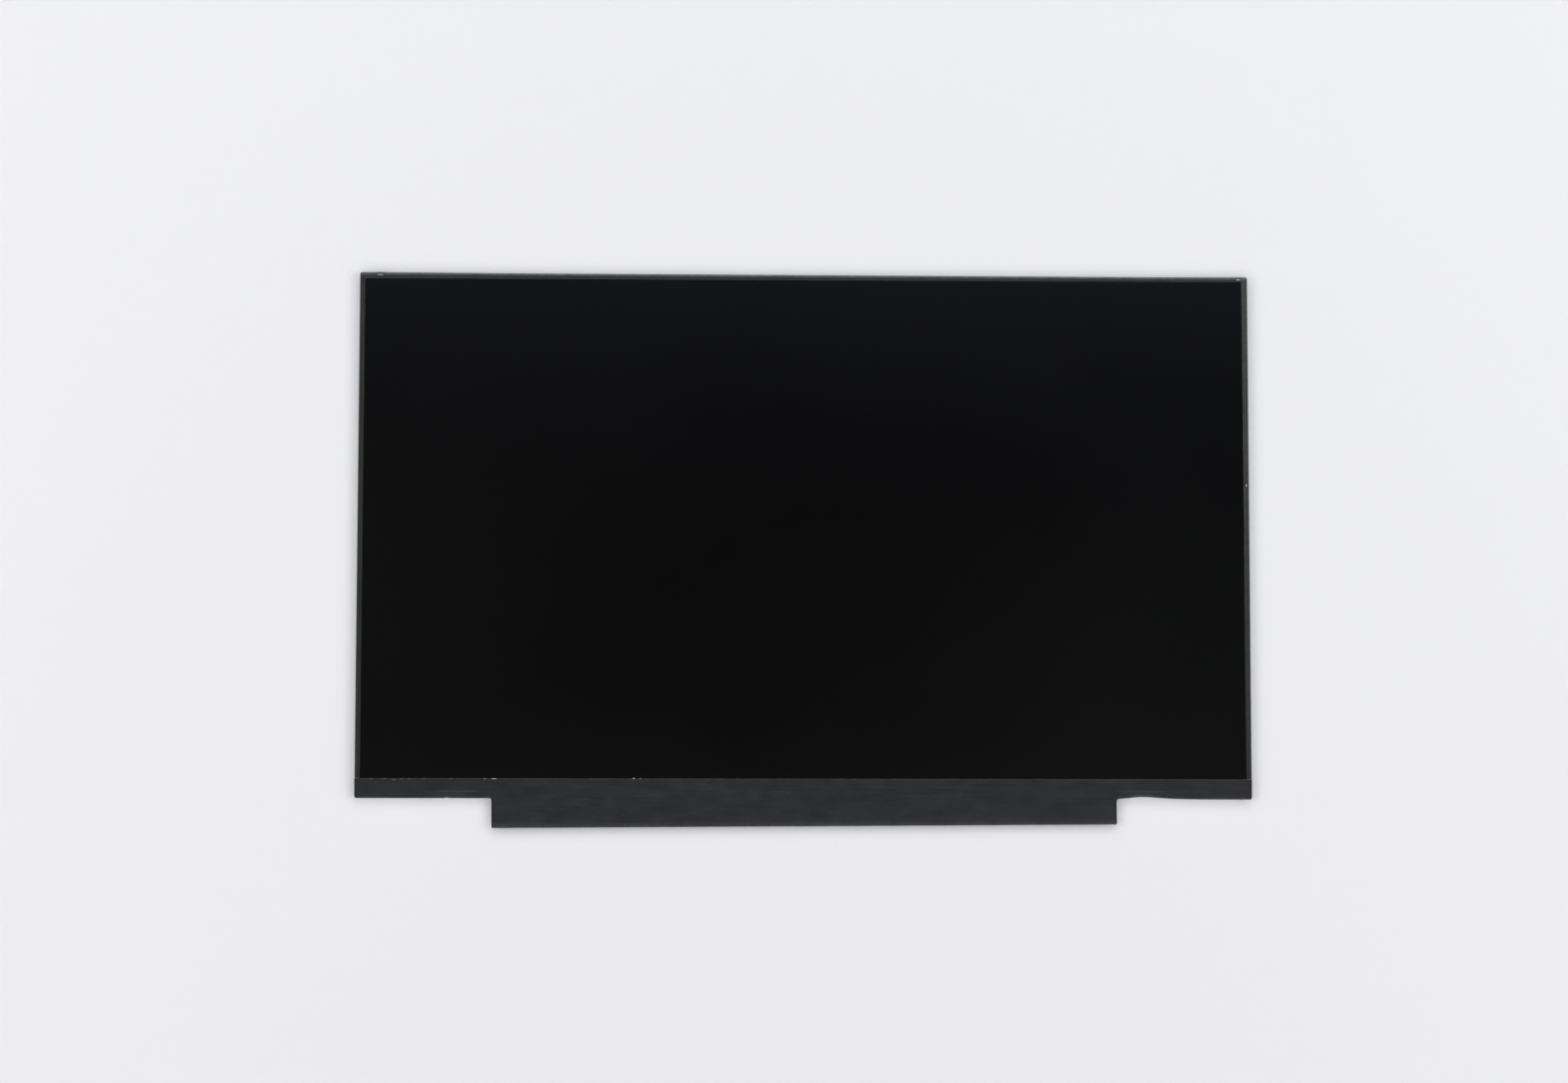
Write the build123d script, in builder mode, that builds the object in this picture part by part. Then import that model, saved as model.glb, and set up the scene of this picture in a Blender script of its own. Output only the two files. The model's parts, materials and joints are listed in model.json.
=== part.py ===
from build123d import *
import os

os.makedirs("parts", exist_ok=True)

# A notebook screen module, lying on its back with the screen up.
# X runs along the width, Y towards the top edge, Z out of the screen.
# The origin is the middle of the outline, on the rear face.

# Outline, measured over the tapes
module_width = 315.8
module_height = 185.7
corner_radius = 0.6
left_border = 1.9
right_border = 2.2
top_border = 2.2
lower_border = 7.0

# Thickness of each layer, from back to front
plate_thickness = 0.2
reflector_thickness = 0.12
guide_thickness = 0.55
diffuser_thickness = 0.12
prism_thickness = 0.14
rim_tape_thickness = 0.08
rear_polariser_thickness = 0.12
glass_thickness = 0.3
front_polariser_thickness = 0.18
tape_thickness = 0.07
guide_rim_room = 0.02
sheet_room = 0.05

# How far the edges of the layers lie inside the outline
glass_inset = 1.0
array_glass_low_inset = 1.1
guide_inset = 2.3
reflector_inset = 2.6
rim_tape_inset = 3.05
rim_lower_lap = 1.2
rear_flap_width = 1.5
filter_margin = 2.0
glass_corner_cut = 0.6
screen_corner_cut = 0.3

# Play between the pieces
glass_play = 0.15
guide_play = 0.1
sheet_play = 0.1
tape_gap = 0.05
tape_butt_gap = 0.04

# Moulded frame
frame_edge_radius = 0.15
top_bevel_run = 0.55
top_bevel_drop = 0.3
lower_wall = 0.9
roof_room = 0.04
bed_run = 2.2

# Locating ears of the sheets and lugs of the light guide
ear_width = 8.0
ear_depth = 0.9
ear_play = 0.15
top_ear_from_corner = 45.0
side_ear_from_corner = 34.0
lug_width = 6.0
lug_depth = 1.0
lug_from_corner = 14.0

# Rear plate
plate_inset = 0.1
plate_corner_radius = 1.2
hook_width = 10.0
hook_height = 0.75
hook_bend = 0.1
hook_relief = 0.6
hook_play = 0.05
hook_window_width = 5.0
hook_window_height = 0.26
hook_nib_play = 0.04
top_hook_from_corner = 58.0
side_hook_from_corner = 50.0
lower_hook_from_corner = 25.0

# Lamps and their flex
lamp_count = 42
lamp_width = 3.0
lamp_depth = 0.6
lamp_end_margin = 6.0
lamp_window_margin = 0.28
lamp_window_depth = 0.12
lamp_step = 0.05
lamp_gap = 0.05
lamp_set_in = 1.15
flex_thickness = 0.1
flex_tape_thickness = 0.05
flex_tape_margin = 0.15
flex_width = 3.2
flex_room = 0.2
flex_sheet_gap = 0.15
tail_width = 10.0
tail_play = 0.3
tail_rise = 0.9
tail_solder_length = 2.6
end_lug_width = 1.8
end_lug_from_corner = 3.4
end_lug_play = 0.1
end_lug_bend = 0.1
end_lug_lap = 0.5

# Driver board and the films that carry it; the board hangs a little out of square
board_width = 219.4
board_height = 8.6
board_thickness = 0.5
board_gap = 1.0
board_skew = 0.38
board_corner_radius = 0.6
board_notch_radius = 0.75
board_notch_from_end = 24.0
film_count = 4
film_width = 34.0
film_thickness = 0.06
film_bond = 1.2
film_corner_cut = 0.8
film_play = 0.3
chip_length = 22.0
chip_width = 1.0
chip_thickness = 0.3
chip_play = 0.05
chip_set_off = 0.15

# Edge tapes that narrow along their length: the top one to the right, the right one downwards
top_tape_taper = 0.6
right_tape_taper = 0.5

# Cover tape over the films and the board
tongue_overlap = 0.3
tongue_lip = 0.12
tongue_corner_radius = 0.5
tongue_root_radius = 0.8
tape_corner_cut = 0.5
scallop_length = 14.6
scallop_depth = 0.6
scallop_from_corner = 38.6

# Signal socket, mouth at the lower edge of the board
socket_from_end = 30.0
socket_width = 18.6
socket_depth = 3.5
socket_height = 0.95
socket_edge_gap = 0.1
mouth_width = 15.9
mouth_depth = 2.4
mouth_floor = 0.2
mouth_height = 0.5
contact_count = 30
contact_pitch = 0.5
contact_width = 0.2
contact_thickness = 0.1
contact_foot = 0.7
contact_set_back = 0.5
shell_thickness = 0.1
shell_depth = 3.0
shell_foot = 1.0
latch_window_width = 2.0
latch_window_depth = 0.8
latch_window_spacing = 5.6

# Parts soldered on the rear of the board: width, depth and height of each kind
controller_size = (6.0, 6.0, 0.75)
regulator_size = (4.0, 4.0, 0.7)
backlight_driver_size = (3.0, 3.0, 0.6)
memory_size = (2.0, 3.0, 0.5)
small_inductor_size = (2.5, 3.0, 1.0)
large_inductor_size = (4.0, 4.0, 1.1)
diode_size = (1.3, 2.5, 0.6)
fuse_size = (1.6, 0.8, 0.45)
capacitor_size = (0.8, 1.6, 0.8)
resistor_size = (0.5, 1.0, 0.35)
package_edge = 0.08
package_dimple = 0.2
package_dimple_depth = 0.04
package_dimple_inset = 0.6
inductor_corner_cut = 0.45
inductor_waist = 0.08
inductor_terminal = 0.7
diode_lead_length = 0.4
diode_lead_width = 0.5
diode_lead_thickness = 0.12
end_cap_length = 0.22
end_cap_step = 0.03
capacitor_pitch = 1.4
capacitor_row_count = 4
lamp_capacitor_count = 5
resistor_pitch = 1.0
resistor_row_count = 5
strap_row_count = 9
row_half_spacing = 1.5

# Places along the board: the middle group from its centre, the power group from its left end
# and the lamp supply group from its right end
controller_place = -6.0
memory_place = 8.0
regulator_from_end = 44.0
first_inductor_from_end = 37.5
second_inductor_from_end = 32.0
regulator_diode_from_end = 49.0
tail_from_end = 47.5
lamp_inductor_from_end = 57.5
backlight_driver_from_end = 64.0
lamp_diode_from_end = 68.0
fuse_from_end = 15.0
input_row_from_end = 16.0
boost_row_from_end = 24.0
output_row_from_end = 52.0
divider_rows_from_end = 60.0
entry_row_from_end = 11.0
lamp_row_from_end = 78.0

# Ground foil from the rear plate to the board
foil_thickness = 0.05
foil_width = 8.0
foil_from_end = 8.0
foil_lap = 2.2
foil_rise = 1.4
foil_board_lap = 3.0

# Edges of the layers in the plane of the screen
half_width = module_width / 2
top_edge = module_height / 2
low_edge = -module_height / 2
screen_left = -half_width + left_border
screen_right = half_width - right_border
screen_top = top_edge - top_border
screen_low = low_edge + lower_border
frame_side = half_width - tape_thickness
frame_top = top_edge - tape_thickness
glass_side = half_width - glass_inset
glass_top = top_edge - glass_inset
array_glass_low = low_edge + array_glass_low_inset
filter_low = screen_low - filter_margin
guide_side = half_width - guide_inset
guide_top = top_edge - guide_inset
wall_inner = low_edge + lower_wall
flex_low = wall_inner + flex_room
flex_high = flex_low + flex_width
lamp_low = flex_low + lamp_set_in
guide_low = lamp_low + lamp_depth + lamp_gap
sheet_low = flex_high + flex_sheet_gap
roof_high = sheet_low - sheet_play
reflector_side = half_width - reflector_inset
reflector_top = top_edge - reflector_inset
rim_opening_side = half_width - rim_tape_inset
rim_opening_top = top_edge - rim_tape_inset
plate_side = frame_side - plate_inset
plate_top = frame_top - plate_inset
plate_low = low_edge + plate_inset
tape_high = screen_low - tape_gap

# Heights of the layers
plate_draw = reflector_thickness - guide_rim_room
rim_front = plate_draw + plate_thickness
guide_rear = plate_thickness + reflector_thickness
guide_front = guide_rear + guide_thickness
diffuser_front = guide_front + diffuser_thickness
lower_prism_front = diffuser_front + prism_thickness
upper_prism_front = lower_prism_front + prism_thickness
ledge_front = upper_prism_front + sheet_room
rim_tape_front = ledge_front + rim_tape_thickness
rear_polariser_front = rim_tape_front + rear_polariser_thickness
array_front = rear_polariser_front + glass_thickness
filter_front = array_front + glass_thickness
screen_front = filter_front + front_polariser_thickness
film_front = array_front + film_thickness
flex_rear = guide_front + flex_tape_thickness
flex_front = flex_rear + flex_thickness
roof_rear = flex_front + roof_room
lamp_height = guide_thickness - lamp_step
board_rear = array_front - board_thickness

# Line of the bevel along the top of the frame, from the front down to the side, as (Y, Z)
top_bevel = [
    (frame_top - 2 * top_bevel_run, filter_front),
    (frame_top - top_bevel_run, filter_front),
    (frame_top, filter_front - top_bevel_drop),
    (frame_top, filter_front - 2 * top_bevel_drop),
]

# Line of the cover tape's underside from the screen down over the films, as (Y, Z)
tongue_low = low_edge - board_gap - board_height - tongue_lip
tape_reach = tongue_low - board_height
bed_line = [
    (tape_high, filter_front),
    (filter_low, filter_front),
    (filter_low - bed_run, film_front),
    (tape_reach, film_front),
]

# Plane on the rear of the board: its X runs along the board, its Y down from the upper edge
board_top = low_edge - board_gap
board_direction = Vector(1, 0, 0).rotate(Axis.Z, board_skew)
board_plane = Plane(origin=(0, board_top, board_rear), x_dir=board_direction, z_dir=(0, 0, -1))
film_pitch = board_width / film_count
film_places = [(i - (film_count - 1) / 2) * film_pitch for i in range(film_count)]
socket_place = board_width / 2 - socket_from_end
mouth_edge = board_height - socket_edge_gap
socket_back = mouth_edge - socket_depth
left_end = -board_width / 2
right_end = board_width / 2
tail_place = right_end - tail_from_end
board_middle = board_height / 2
upper_row = board_middle - row_half_spacing
lower_row = board_middle + row_half_spacing

# Rows of small parts: first place along the board, count, distance from the upper edge
left_of_controller = controller_place - controller_size[0] / 2 - capacitor_row_count * capacitor_pitch
right_of_controller = controller_place + controller_size[0] / 2 + capacitor_pitch
right_of_memory = memory_place + memory_size[0] / 2 + 2 * resistor_pitch
over_socket = socket_place - (strap_row_count - 1) / 2 * resistor_pitch
row_over_socket = socket_back - contact_foot - resistor_size[1]
capacitor_rows = [
    (left_of_controller, capacitor_row_count, upper_row),
    (left_of_controller, capacitor_row_count, lower_row),
    (right_of_controller, capacitor_row_count, upper_row),
    (right_of_controller, capacitor_row_count, lower_row),
    (left_end + input_row_from_end, capacitor_row_count, board_middle),
    (left_end + boost_row_from_end, capacitor_row_count, board_middle),
    (left_end + output_row_from_end, capacitor_row_count, board_middle),
    (right_end - entry_row_from_end, capacitor_row_count, board_middle),
    (right_end - lamp_row_from_end, lamp_capacitor_count, board_middle),
]
resistor_rows = [
    (right_of_memory, resistor_row_count, upper_row),
    (right_of_memory, resistor_row_count, lower_row),
    (left_end + divider_rows_from_end, resistor_row_count, upper_row),
    (left_end + divider_rows_from_end, resistor_row_count, lower_row),
    (over_socket, strap_row_count, row_over_socket),
]


# Draws a rectangle between two X and two Y values in the open sketch
def span(left, right, low, high, mode=Mode.ADD):
    with Locations(((left + right) / 2, (low + high) / 2)):
        Rectangle(right - left, high - low, mode=mode)


# Draws the locating ears along the top and the sides of a sheet, larger by the play
def ears(play):
    for side in (-1, 1):
        with Locations((side * (half_width - top_ear_from_corner), guide_top)):
            Rectangle(ear_width + 2 * play, 2 * (ear_depth + play))
        with Locations((side * guide_side, top_edge - side_ear_from_corner)):
            Rectangle(2 * (ear_depth + play), ear_width + 2 * play)


# Draws the light guide's two lugs, larger by the play
def lugs(play):
    for side in (-1, 1):
        with Locations((side * guide_side, top_edge - lug_from_corner)):
            Rectangle(2 * (lug_depth + play), lug_width + 2 * play)


# Draws rows of small two-ended parts, with their end caps a little wider than the body
def two_ended_rows(rows, pitch, width, depth):
    for first, count, distance in rows:
        for i in range(count):
            with Locations((first + i * pitch, distance)):
                Rectangle(width - 2 * end_cap_step, depth)
            with Locations((first + i * pitch, distance)):
                with GridLocations(0, depth - end_cap_length, 1, 2):
                    Rectangle(width, end_cap_length)


# Hooks of the rear plate: a plane at the middle of each, X pointing out of the plate, Y up
hook_stands = []
for side in (-1, 1):
    hook_stands.append(((side * plate_side, top_edge - side_hook_from_corner), (side, 0, 0)))
    hook_stands.append(((side * plate_side, low_edge + side_hook_from_corner), (side, 0, 0)))
    hook_stands.append(((side * (half_width - top_hook_from_corner), plate_top), (0, 1, 0)))
    hook_stands.append(((side * (half_width - lower_hook_from_corner), plate_low), (0, -1, 0)))
hook_planes = [
    Plane(origin=(*spot, 0), x_dir=outward, z_dir=Vector(outward).cross(Vector(0, 0, 1)))
    for spot, outward in hook_stands
]
hook_root = hook_bend + 2 * plate_thickness
hook_end = rim_front + hook_height
hook_window_low = rim_front + (hook_height - hook_window_height) / 2

# Rear plate: a flat field pressed out of the rim, with hooks bent up around the edge
with BuildPart() as rear_plate:
    with BuildSketch(Plane.XY.offset(plate_draw)) as rim_outline:
        span(-plate_side, plate_side, plate_low, plate_top)
        fillet(rim_outline.vertices(), plate_corner_radius)
        for plane in hook_planes:
            turn = 0 if plane.x_dir.X == 0 else 90
            with Locations(Location((plane.origin.X, plane.origin.Y, 0), (0, 0, turn))):
                Rectangle(hook_width + 2 * hook_relief, 2 * hook_root, mode=Mode.SUBTRACT)
    extrude(amount=plate_thickness)
    recess_side = reflector_side + sheet_play
    recess_low = guide_low - sheet_play
    recess_top = reflector_top + sheet_play
    press_step = plate_thickness * (2**0.5 - 1) + plate_draw
    with BuildSketch(Plane.XY.offset(plate_draw)):
        span(
            -recess_side - press_step,
            recess_side + press_step,
            recess_low - press_step,
            recess_top + press_step,
        )
    extrude(amount=-plate_draw, taper=45)
    with BuildSketch(Plane.XY.offset(rim_front)):
        span(
            -recess_side - plate_draw,
            recess_side + plate_draw,
            recess_low - plate_draw,
            recess_top + plate_draw,
        )
    extrude(amount=-plate_draw, taper=45, mode=Mode.SUBTRACT)
    for plane in hook_planes:
        with BuildSketch(plane):
            with BuildLine():
                FilletPolyline(
                    (-2 * hook_root, plate_draw),
                    (0, plate_draw),
                    (0, hook_end),
                    radius=hook_bend + plate_thickness,
                )
                offset(amount=plate_thickness, side=Side.LEFT)
            make_face()
        extrude(amount=hook_width / 2, both=True)
        with BuildSketch(plane):
            span(-hook_root, hook_root, hook_window_low, hook_window_low + hook_window_height)
        extrude(amount=hook_window_width / 2, both=True, mode=Mode.SUBTRACT)
rear_plate.part.label = "rear_plate"
export_step(rear_plate.part, "parts/rear_plate.step")

# Moulded frame: a stepped ring with a ledge for the glass, an opening for the sheets, a roofed
# channel for the lamps, a bed for the cover tape and windows for the films
with BuildPart() as mould_frame:
    with BuildSketch(Plane.XY.offset(rim_front)) as frame_outline:
        span(-frame_side, frame_side, low_edge, frame_top)
        fillet(frame_outline.vertices(), corner_radius)
    extrude(amount=filter_front - rim_front)
    fillet(mould_frame.faces().sort_by(Axis.Z)[-1].edges(), frame_edge_radius)

    # Bevel along the top edge
    with BuildSketch(Plane.YZ.offset(-half_width)):
        with BuildLine():
            FilletPolyline(*top_bevel, radius=frame_edge_radius)
            Polyline(
                top_bevel[-1],
                (top_edge, top_bevel[-1][1]),
                (top_edge, screen_front),
                (top_bevel[0][0], screen_front),
                top_bevel[0],
            )
        make_face()
    extrude(amount=module_width, mode=Mode.SUBTRACT)

    # Pocket for the glass, down to the ledge
    with BuildSketch(Plane.XY.offset(ledge_front)):
        span(-glass_side - glass_play, glass_side + glass_play, wall_inner, glass_top + glass_play)
    extrude(amount=filter_front - ledge_front, mode=Mode.SUBTRACT)

    # Opening for the light guide and its lugs
    with BuildSketch(Plane.XY.offset(rim_front)):
        span(-guide_side - guide_play, guide_side + guide_play, roof_high, guide_top + guide_play)
        lugs(ear_play)
    extrude(amount=ledge_front - rim_front, mode=Mode.SUBTRACT)

    # Lamp channel under the roof
    with BuildSketch(Plane.XY.offset(rim_front)):
        span(-guide_side - guide_play, guide_side + guide_play, wall_inner, roof_high)
    extrude(amount=roof_rear - rim_front, mode=Mode.SUBTRACT)

    # Notches for the ears of the sheets
    with BuildSketch(Plane.XY.offset(guide_front)):
        ears(ear_play)
    extrude(amount=ledge_front - guide_front, mode=Mode.SUBTRACT)

    # Bed of the cover tape
    with BuildSketch(Plane.YZ.offset(-half_width)):
        with BuildLine():
            Polyline(*bed_line, (tape_reach, screen_front), (tape_high, screen_front), close=True)
        make_face()
    extrude(amount=module_width, mode=Mode.SUBTRACT)

    # Windows in the lower wall for the films and their chips
    window_floor = array_front - chip_thickness - chip_play
    with BuildSketch(Plane.XY.offset(window_floor)):
        for place in film_places:
            window_half = film_width / 2 + film_play
            span(place - window_half, place + window_half, low_edge, wall_inner)
    extrude(amount=film_front - window_floor, mode=Mode.SUBTRACT)

    # Slots in the lower wall for the tail and the end lug of the lamp flex
    with BuildSketch(Plane.XY.offset(rim_front)):
        tail_half = tail_width / 2 + tail_play
        span(tail_place - tail_half, tail_place + tail_half, low_edge, wall_inner)
        lug_place = half_width - end_lug_from_corner
        lug_half = end_lug_width / 2 + tail_play
        span(lug_place - lug_half, lug_place + lug_half, low_edge, wall_inner)
    extrude(amount=roof_rear - rim_front, mode=Mode.SUBTRACT)

    # Recesses for the hooks, each with the nib that snaps into the hook's window
    for plane in hook_planes:
        hook_floor = -plate_thickness - hook_bend
        with BuildSketch(plane):
            span(hook_floor, 2 * plate_inset + tape_thickness, plate_draw, hook_end + hook_play)
        extrude(amount=hook_width / 2 + hook_relief, both=True, mode=Mode.SUBTRACT)
        with BuildSketch(plane):
            nib_low = hook_window_low + hook_nib_play
            nib_high = hook_window_low + hook_window_height - hook_nib_play
            with BuildLine():
                Polyline(
                    (hook_floor - hook_play, nib_low),
                    (hook_floor, nib_low),
                    (-hook_play, (nib_low + nib_high) / 2),
                    (-hook_play, nib_high),
                    (hook_floor - hook_play, nib_high),
                    close=True,
                )
            make_face()
        extrude(amount=hook_window_width / 2 - hook_nib_play, both=True)
mould_frame.part.label = "mould_frame"
export_step(mould_frame.part, "parts/mould_frame.step")

# Reflector sheet in the pressed field of the plate
with BuildPart() as reflector_sheet:
    with BuildSketch(Plane.XY.offset(plate_thickness)):
        span(-reflector_side, reflector_side, guide_low, reflector_top)
    extrude(amount=reflector_thickness)
reflector_sheet.part.label = "reflector_sheet"
export_step(reflector_sheet.part, "parts/reflector_sheet.step")

# Light guide with a lug on each side
with BuildPart() as light_guide:
    with BuildSketch(Plane.XY.offset(guide_rear)):
        span(-guide_side, guide_side, guide_low, guide_top)
        lugs(0)
    extrude(amount=guide_thickness)
light_guide.part.label = "light_guide"
export_step(light_guide.part, "parts/light_guide.step")

# Diffuser and the two prism sheets, alike in outline
sheets = [
    ("diffuser_sheet", guide_front, diffuser_front),
    ("lower_prism_sheet", diffuser_front, lower_prism_front),
    ("upper_prism_sheet", lower_prism_front, upper_prism_front),
]
for sheet_name, sheet_rear, sheet_front in sheets:
    with BuildPart() as sheet:
        with BuildSketch(Plane.XY.offset(sheet_rear)):
            span(-guide_side, guide_side, sheet_low, guide_top)
            ears(0)
        extrude(amount=sheet_front - sheet_rear)
    sheet.part.label = sheet_name
    export_step(sheet.part, f"parts/{sheet_name}.step")

# Lamp flex: a strip over the lamps, an end lug folded up over the edge of the cover tape, and a
# tail that rises to the rear of the board
flex_side = guide_side - sheet_play
with BuildPart() as lamp_flex:
    with BuildSketch(Plane.XY.offset(flex_rear)):
        span(-flex_side, flex_side, flex_low, flex_high)
    extrude(amount=flex_thickness)
    lug_turn = low_edge - end_lug_play
    lug_top = film_front + tape_thickness
    with BuildSketch(Plane.YZ.offset(lug_place - end_lug_width / 2)):
        with BuildLine():
            FilletPolyline(
                (flex_high, flex_front),
                (lug_turn, flex_front),
                (lug_turn, lug_top),
                (low_edge + end_lug_lap, lug_top),
                radius=end_lug_bend,
            )
            offset(amount=flex_thickness, side=Side.LEFT)
        make_face()
    extrude(amount=end_lug_width)
    tail_seat = board_rear - flex_thickness
    tail_turn = low_edge - tail_play
    with BuildSketch(Plane.YZ.offset(tail_place - tail_width / 2)):
        with BuildLine():
            FilletPolyline(
                (flex_high, flex_rear),
                (tail_turn, flex_rear),
                (tail_turn - tail_rise, tail_seat),
                (tail_turn - tail_rise - tail_solder_length, tail_seat),
                radius=tail_rise / 3,
            )
            offset(amount=flex_thickness, side=Side.RIGHT)
        make_face()
    extrude(amount=tail_width)
lamp_flex.part.label = "lamp_flex"
export_step(lamp_flex.part, "parts/lamp_flex.step")

# Tape between the flex and the edge of the light guide
with BuildPart() as flex_tape:
    with BuildSketch(Plane.XY.offset(guide_front)):
        span(-flex_side, flex_side, guide_low + flex_tape_margin, flex_high)
    extrude(amount=flex_tape_thickness)
flex_tape.part.label = "flex_tape"
export_step(flex_tape.part, "parts/flex_tape.step")

# Lamps under the flex, each with a sunk window that faces the light guide
lamp_pitch = 2 * (flex_side - lamp_end_margin) / (lamp_count - 1)
with BuildPart() as lamps:
    with BuildSketch(Plane.XY.offset(flex_rear)):
        with Locations((0, lamp_low + lamp_depth / 2)):
            with GridLocations(lamp_pitch, 0, lamp_count, 1):
                Rectangle(lamp_width, lamp_depth)
    extrude(amount=-lamp_height)
    with BuildSketch(Plane.XZ.offset(-lamp_low - lamp_depth)):
        with Locations((0, flex_rear - lamp_height / 2)):
            with GridLocations(lamp_pitch, 0, lamp_count, 1):
                Rectangle(lamp_width - 2 * lamp_window_margin, lamp_height / 2)
    extrude(amount=lamp_window_depth, mode=Mode.SUBTRACT)
lamps.part.label = "lamps"
export_step(lamps.part, "parts/lamps.step")

# Rim tape on the ledge, lapping over the edges of the sheets
with BuildPart() as rim_tape:
    with BuildSketch(Plane.XY.offset(ledge_front)):
        span(-glass_side, glass_side, array_glass_low, glass_top)
        span(
            -rim_opening_side,
            rim_opening_side,
            sheet_low + rim_lower_lap,
            rim_opening_top,
            mode=Mode.SUBTRACT,
        )
    extrude(amount=rim_tape_thickness)
rim_tape.part.label = "rim_tape"
export_step(rim_tape.part, "parts/rim_tape.step")

# The cell: rear polariser, array glass with its ledge, colour filter glass, front polariser
screen_sides = (screen_left, screen_right)
glass_sides = (-glass_side, glass_side)
cell_layers = [
    ("rear_polariser", screen_sides, filter_low, screen_top, rim_tape_front, rear_polariser_front),
    ("array_glass", glass_sides, array_glass_low, glass_top, rear_polariser_front, array_front),
    ("colour_filter_glass", glass_sides, filter_low, glass_top, array_front, filter_front),
    ("front_polariser", screen_sides, screen_low, screen_top, filter_front, screen_front),
]
for layer_name, layer_sides, layer_low, layer_top, layer_rear, layer_front in cell_layers:
    corner_cut = glass_corner_cut if layer_name.endswith("glass") else screen_corner_cut
    with BuildPart() as layer:
        with BuildSketch(Plane.XY.offset(layer_rear)) as layer_outline:
            span(*layer_sides, layer_low, layer_top)
            chamfer(layer_outline.vertices(), corner_cut)
        extrude(amount=layer_front - layer_rear)
    layer.part.label = layer_name
    export_step(layer.part, f"parts/{layer_name}.step")

# Films bonded to the ledge of the array glass and to the board, each with a chip underneath
for i, place in enumerate(film_places):
    film_low = board_plane.from_local_coords((place, film_bond, 0)).Y
    with BuildPart() as source_film:
        with BuildSketch(Plane.XY.offset(array_front)) as film_outline:
            span(
                place - film_width / 2,
                place + film_width / 2,
                film_low,
                array_glass_low + film_bond,
            )
            chamfer(film_outline.vertices(), film_corner_cut)
        extrude(amount=film_thickness)
    source_film.part.label = f"source_film_{i + 1}"
    export_step(source_film.part, f"parts/source_film_{i + 1}.step")

    with BuildPart() as driver_chip:
        chip_high = array_glass_low - chip_set_off
        with BuildSketch(Plane.XY.offset(array_front)):
            span(place - chip_length / 2, place + chip_length / 2, chip_high - chip_width, chip_high)
        extrude(amount=-chip_thickness)
        chamfer(driver_chip.faces().sort_by(Axis.Z)[0].edges(), package_edge)
    driver_chip.part.label = f"driver_chip_{i + 1}"
    export_step(driver_chip.part, f"parts/driver_chip_{i + 1}.step")

# Driver board with two half-round tooling notches in its lower edge
with BuildPart() as driver_board:
    with BuildSketch(board_plane) as board_outline:
        span(left_end, right_end, 0, board_height)
        fillet(board_outline.vertices(), board_corner_radius)
        with Locations((0, board_height)):
            with GridLocations(board_width - 2 * board_notch_from_end, 0, 2, 1):
                Circle(board_notch_radius, mode=Mode.SUBTRACT)
    extrude(amount=-board_thickness)
driver_board.part.label = "driver_board"
export_step(driver_board.part, "parts/driver_board.step")

# Chips on the rear of the board, with a dimple at the first pin
packages = [
    ("timing_controller", controller_place, controller_size),
    ("power_regulator", left_end + regulator_from_end, regulator_size),
    ("backlight_driver", right_end - backlight_driver_from_end, backlight_driver_size),
    ("settings_memory", memory_place, memory_size),
]
for package_name, place, (width, depth, height) in packages:
    with BuildPart() as package:
        with BuildSketch(board_plane):
            with Locations((place, board_middle)):
                Rectangle(width, depth)
        extrude(amount=height)
        chamfer(package.faces().sort_by(Axis.Z)[0].edges(), package_edge)
        with BuildSketch(board_plane.offset(height)):
            dimple_x = place - width / 2 + package_dimple_inset
            dimple_y = board_middle - depth / 2 + package_dimple_inset
            with Locations((dimple_x, dimple_y)):
                Circle(package_dimple)
        extrude(amount=-package_dimple_depth, mode=Mode.SUBTRACT)
    package.part.label = package_name
    export_step(package.part, f"parts/{package_name}.step")

# Power inductors, raised between their two terminals
inductors = [
    ("inductor_1", left_end + first_inductor_from_end, small_inductor_size),
    ("inductor_2", left_end + second_inductor_from_end, small_inductor_size),
    ("inductor_3", right_end - lamp_inductor_from_end, large_inductor_size),
]
for inductor_name, place, (width, depth, height) in inductors:
    with BuildPart() as inductor:
        with BuildSketch(board_plane):
            with Locations((place, board_middle)):
                block = Rectangle(width, depth)
            chamfer(block.vertices(), inductor_corner_cut)
        extrude(amount=height)
        with BuildSketch(board_plane):
            with Locations((place, board_middle)):
                Rectangle(width - 2 * inductor_terminal, depth)
        extrude(amount=inductor_waist, mode=Mode.SUBTRACT)
        chamfer(inductor.faces().sort_by(Axis.Z)[0].edges(), package_edge)
    inductor.part.label = inductor_name
    export_step(inductor.part, f"parts/{inductor_name}.step")

# Diodes: a body on two flat leads
with BuildPart() as diodes:
    diode_width, diode_depth, diode_height = diode_size
    for place in (left_end + regulator_diode_from_end, right_end - lamp_diode_from_end):
        with BuildSketch(board_plane):
            with Locations((place, board_middle)):
                Rectangle(diode_lead_width, diode_depth)
        extrude(amount=diode_lead_thickness)
        with BuildSketch(board_plane):
            with Locations((place, board_middle)):
                Rectangle(diode_width, diode_depth - 2 * diode_lead_length)
        extrude(amount=diode_height)
diodes.part.label = "diodes"
export_step(diodes.part, "parts/diodes.step")

# Fuse beside the socket, with its ends along the board
with BuildPart() as fuse:
    fuse_width, fuse_depth, fuse_height = fuse_size
    with BuildSketch(board_plane):
        with Locations((right_end - fuse_from_end, board_middle)):
            Rectangle(fuse_width, fuse_depth - 2 * end_cap_step)
            with GridLocations(fuse_width - end_cap_length, 0, 2, 1):
                Rectangle(end_cap_length, fuse_depth)
    extrude(amount=fuse_height)
fuse.part.label = "fuse"
export_step(fuse.part, "parts/fuse.step")

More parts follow.
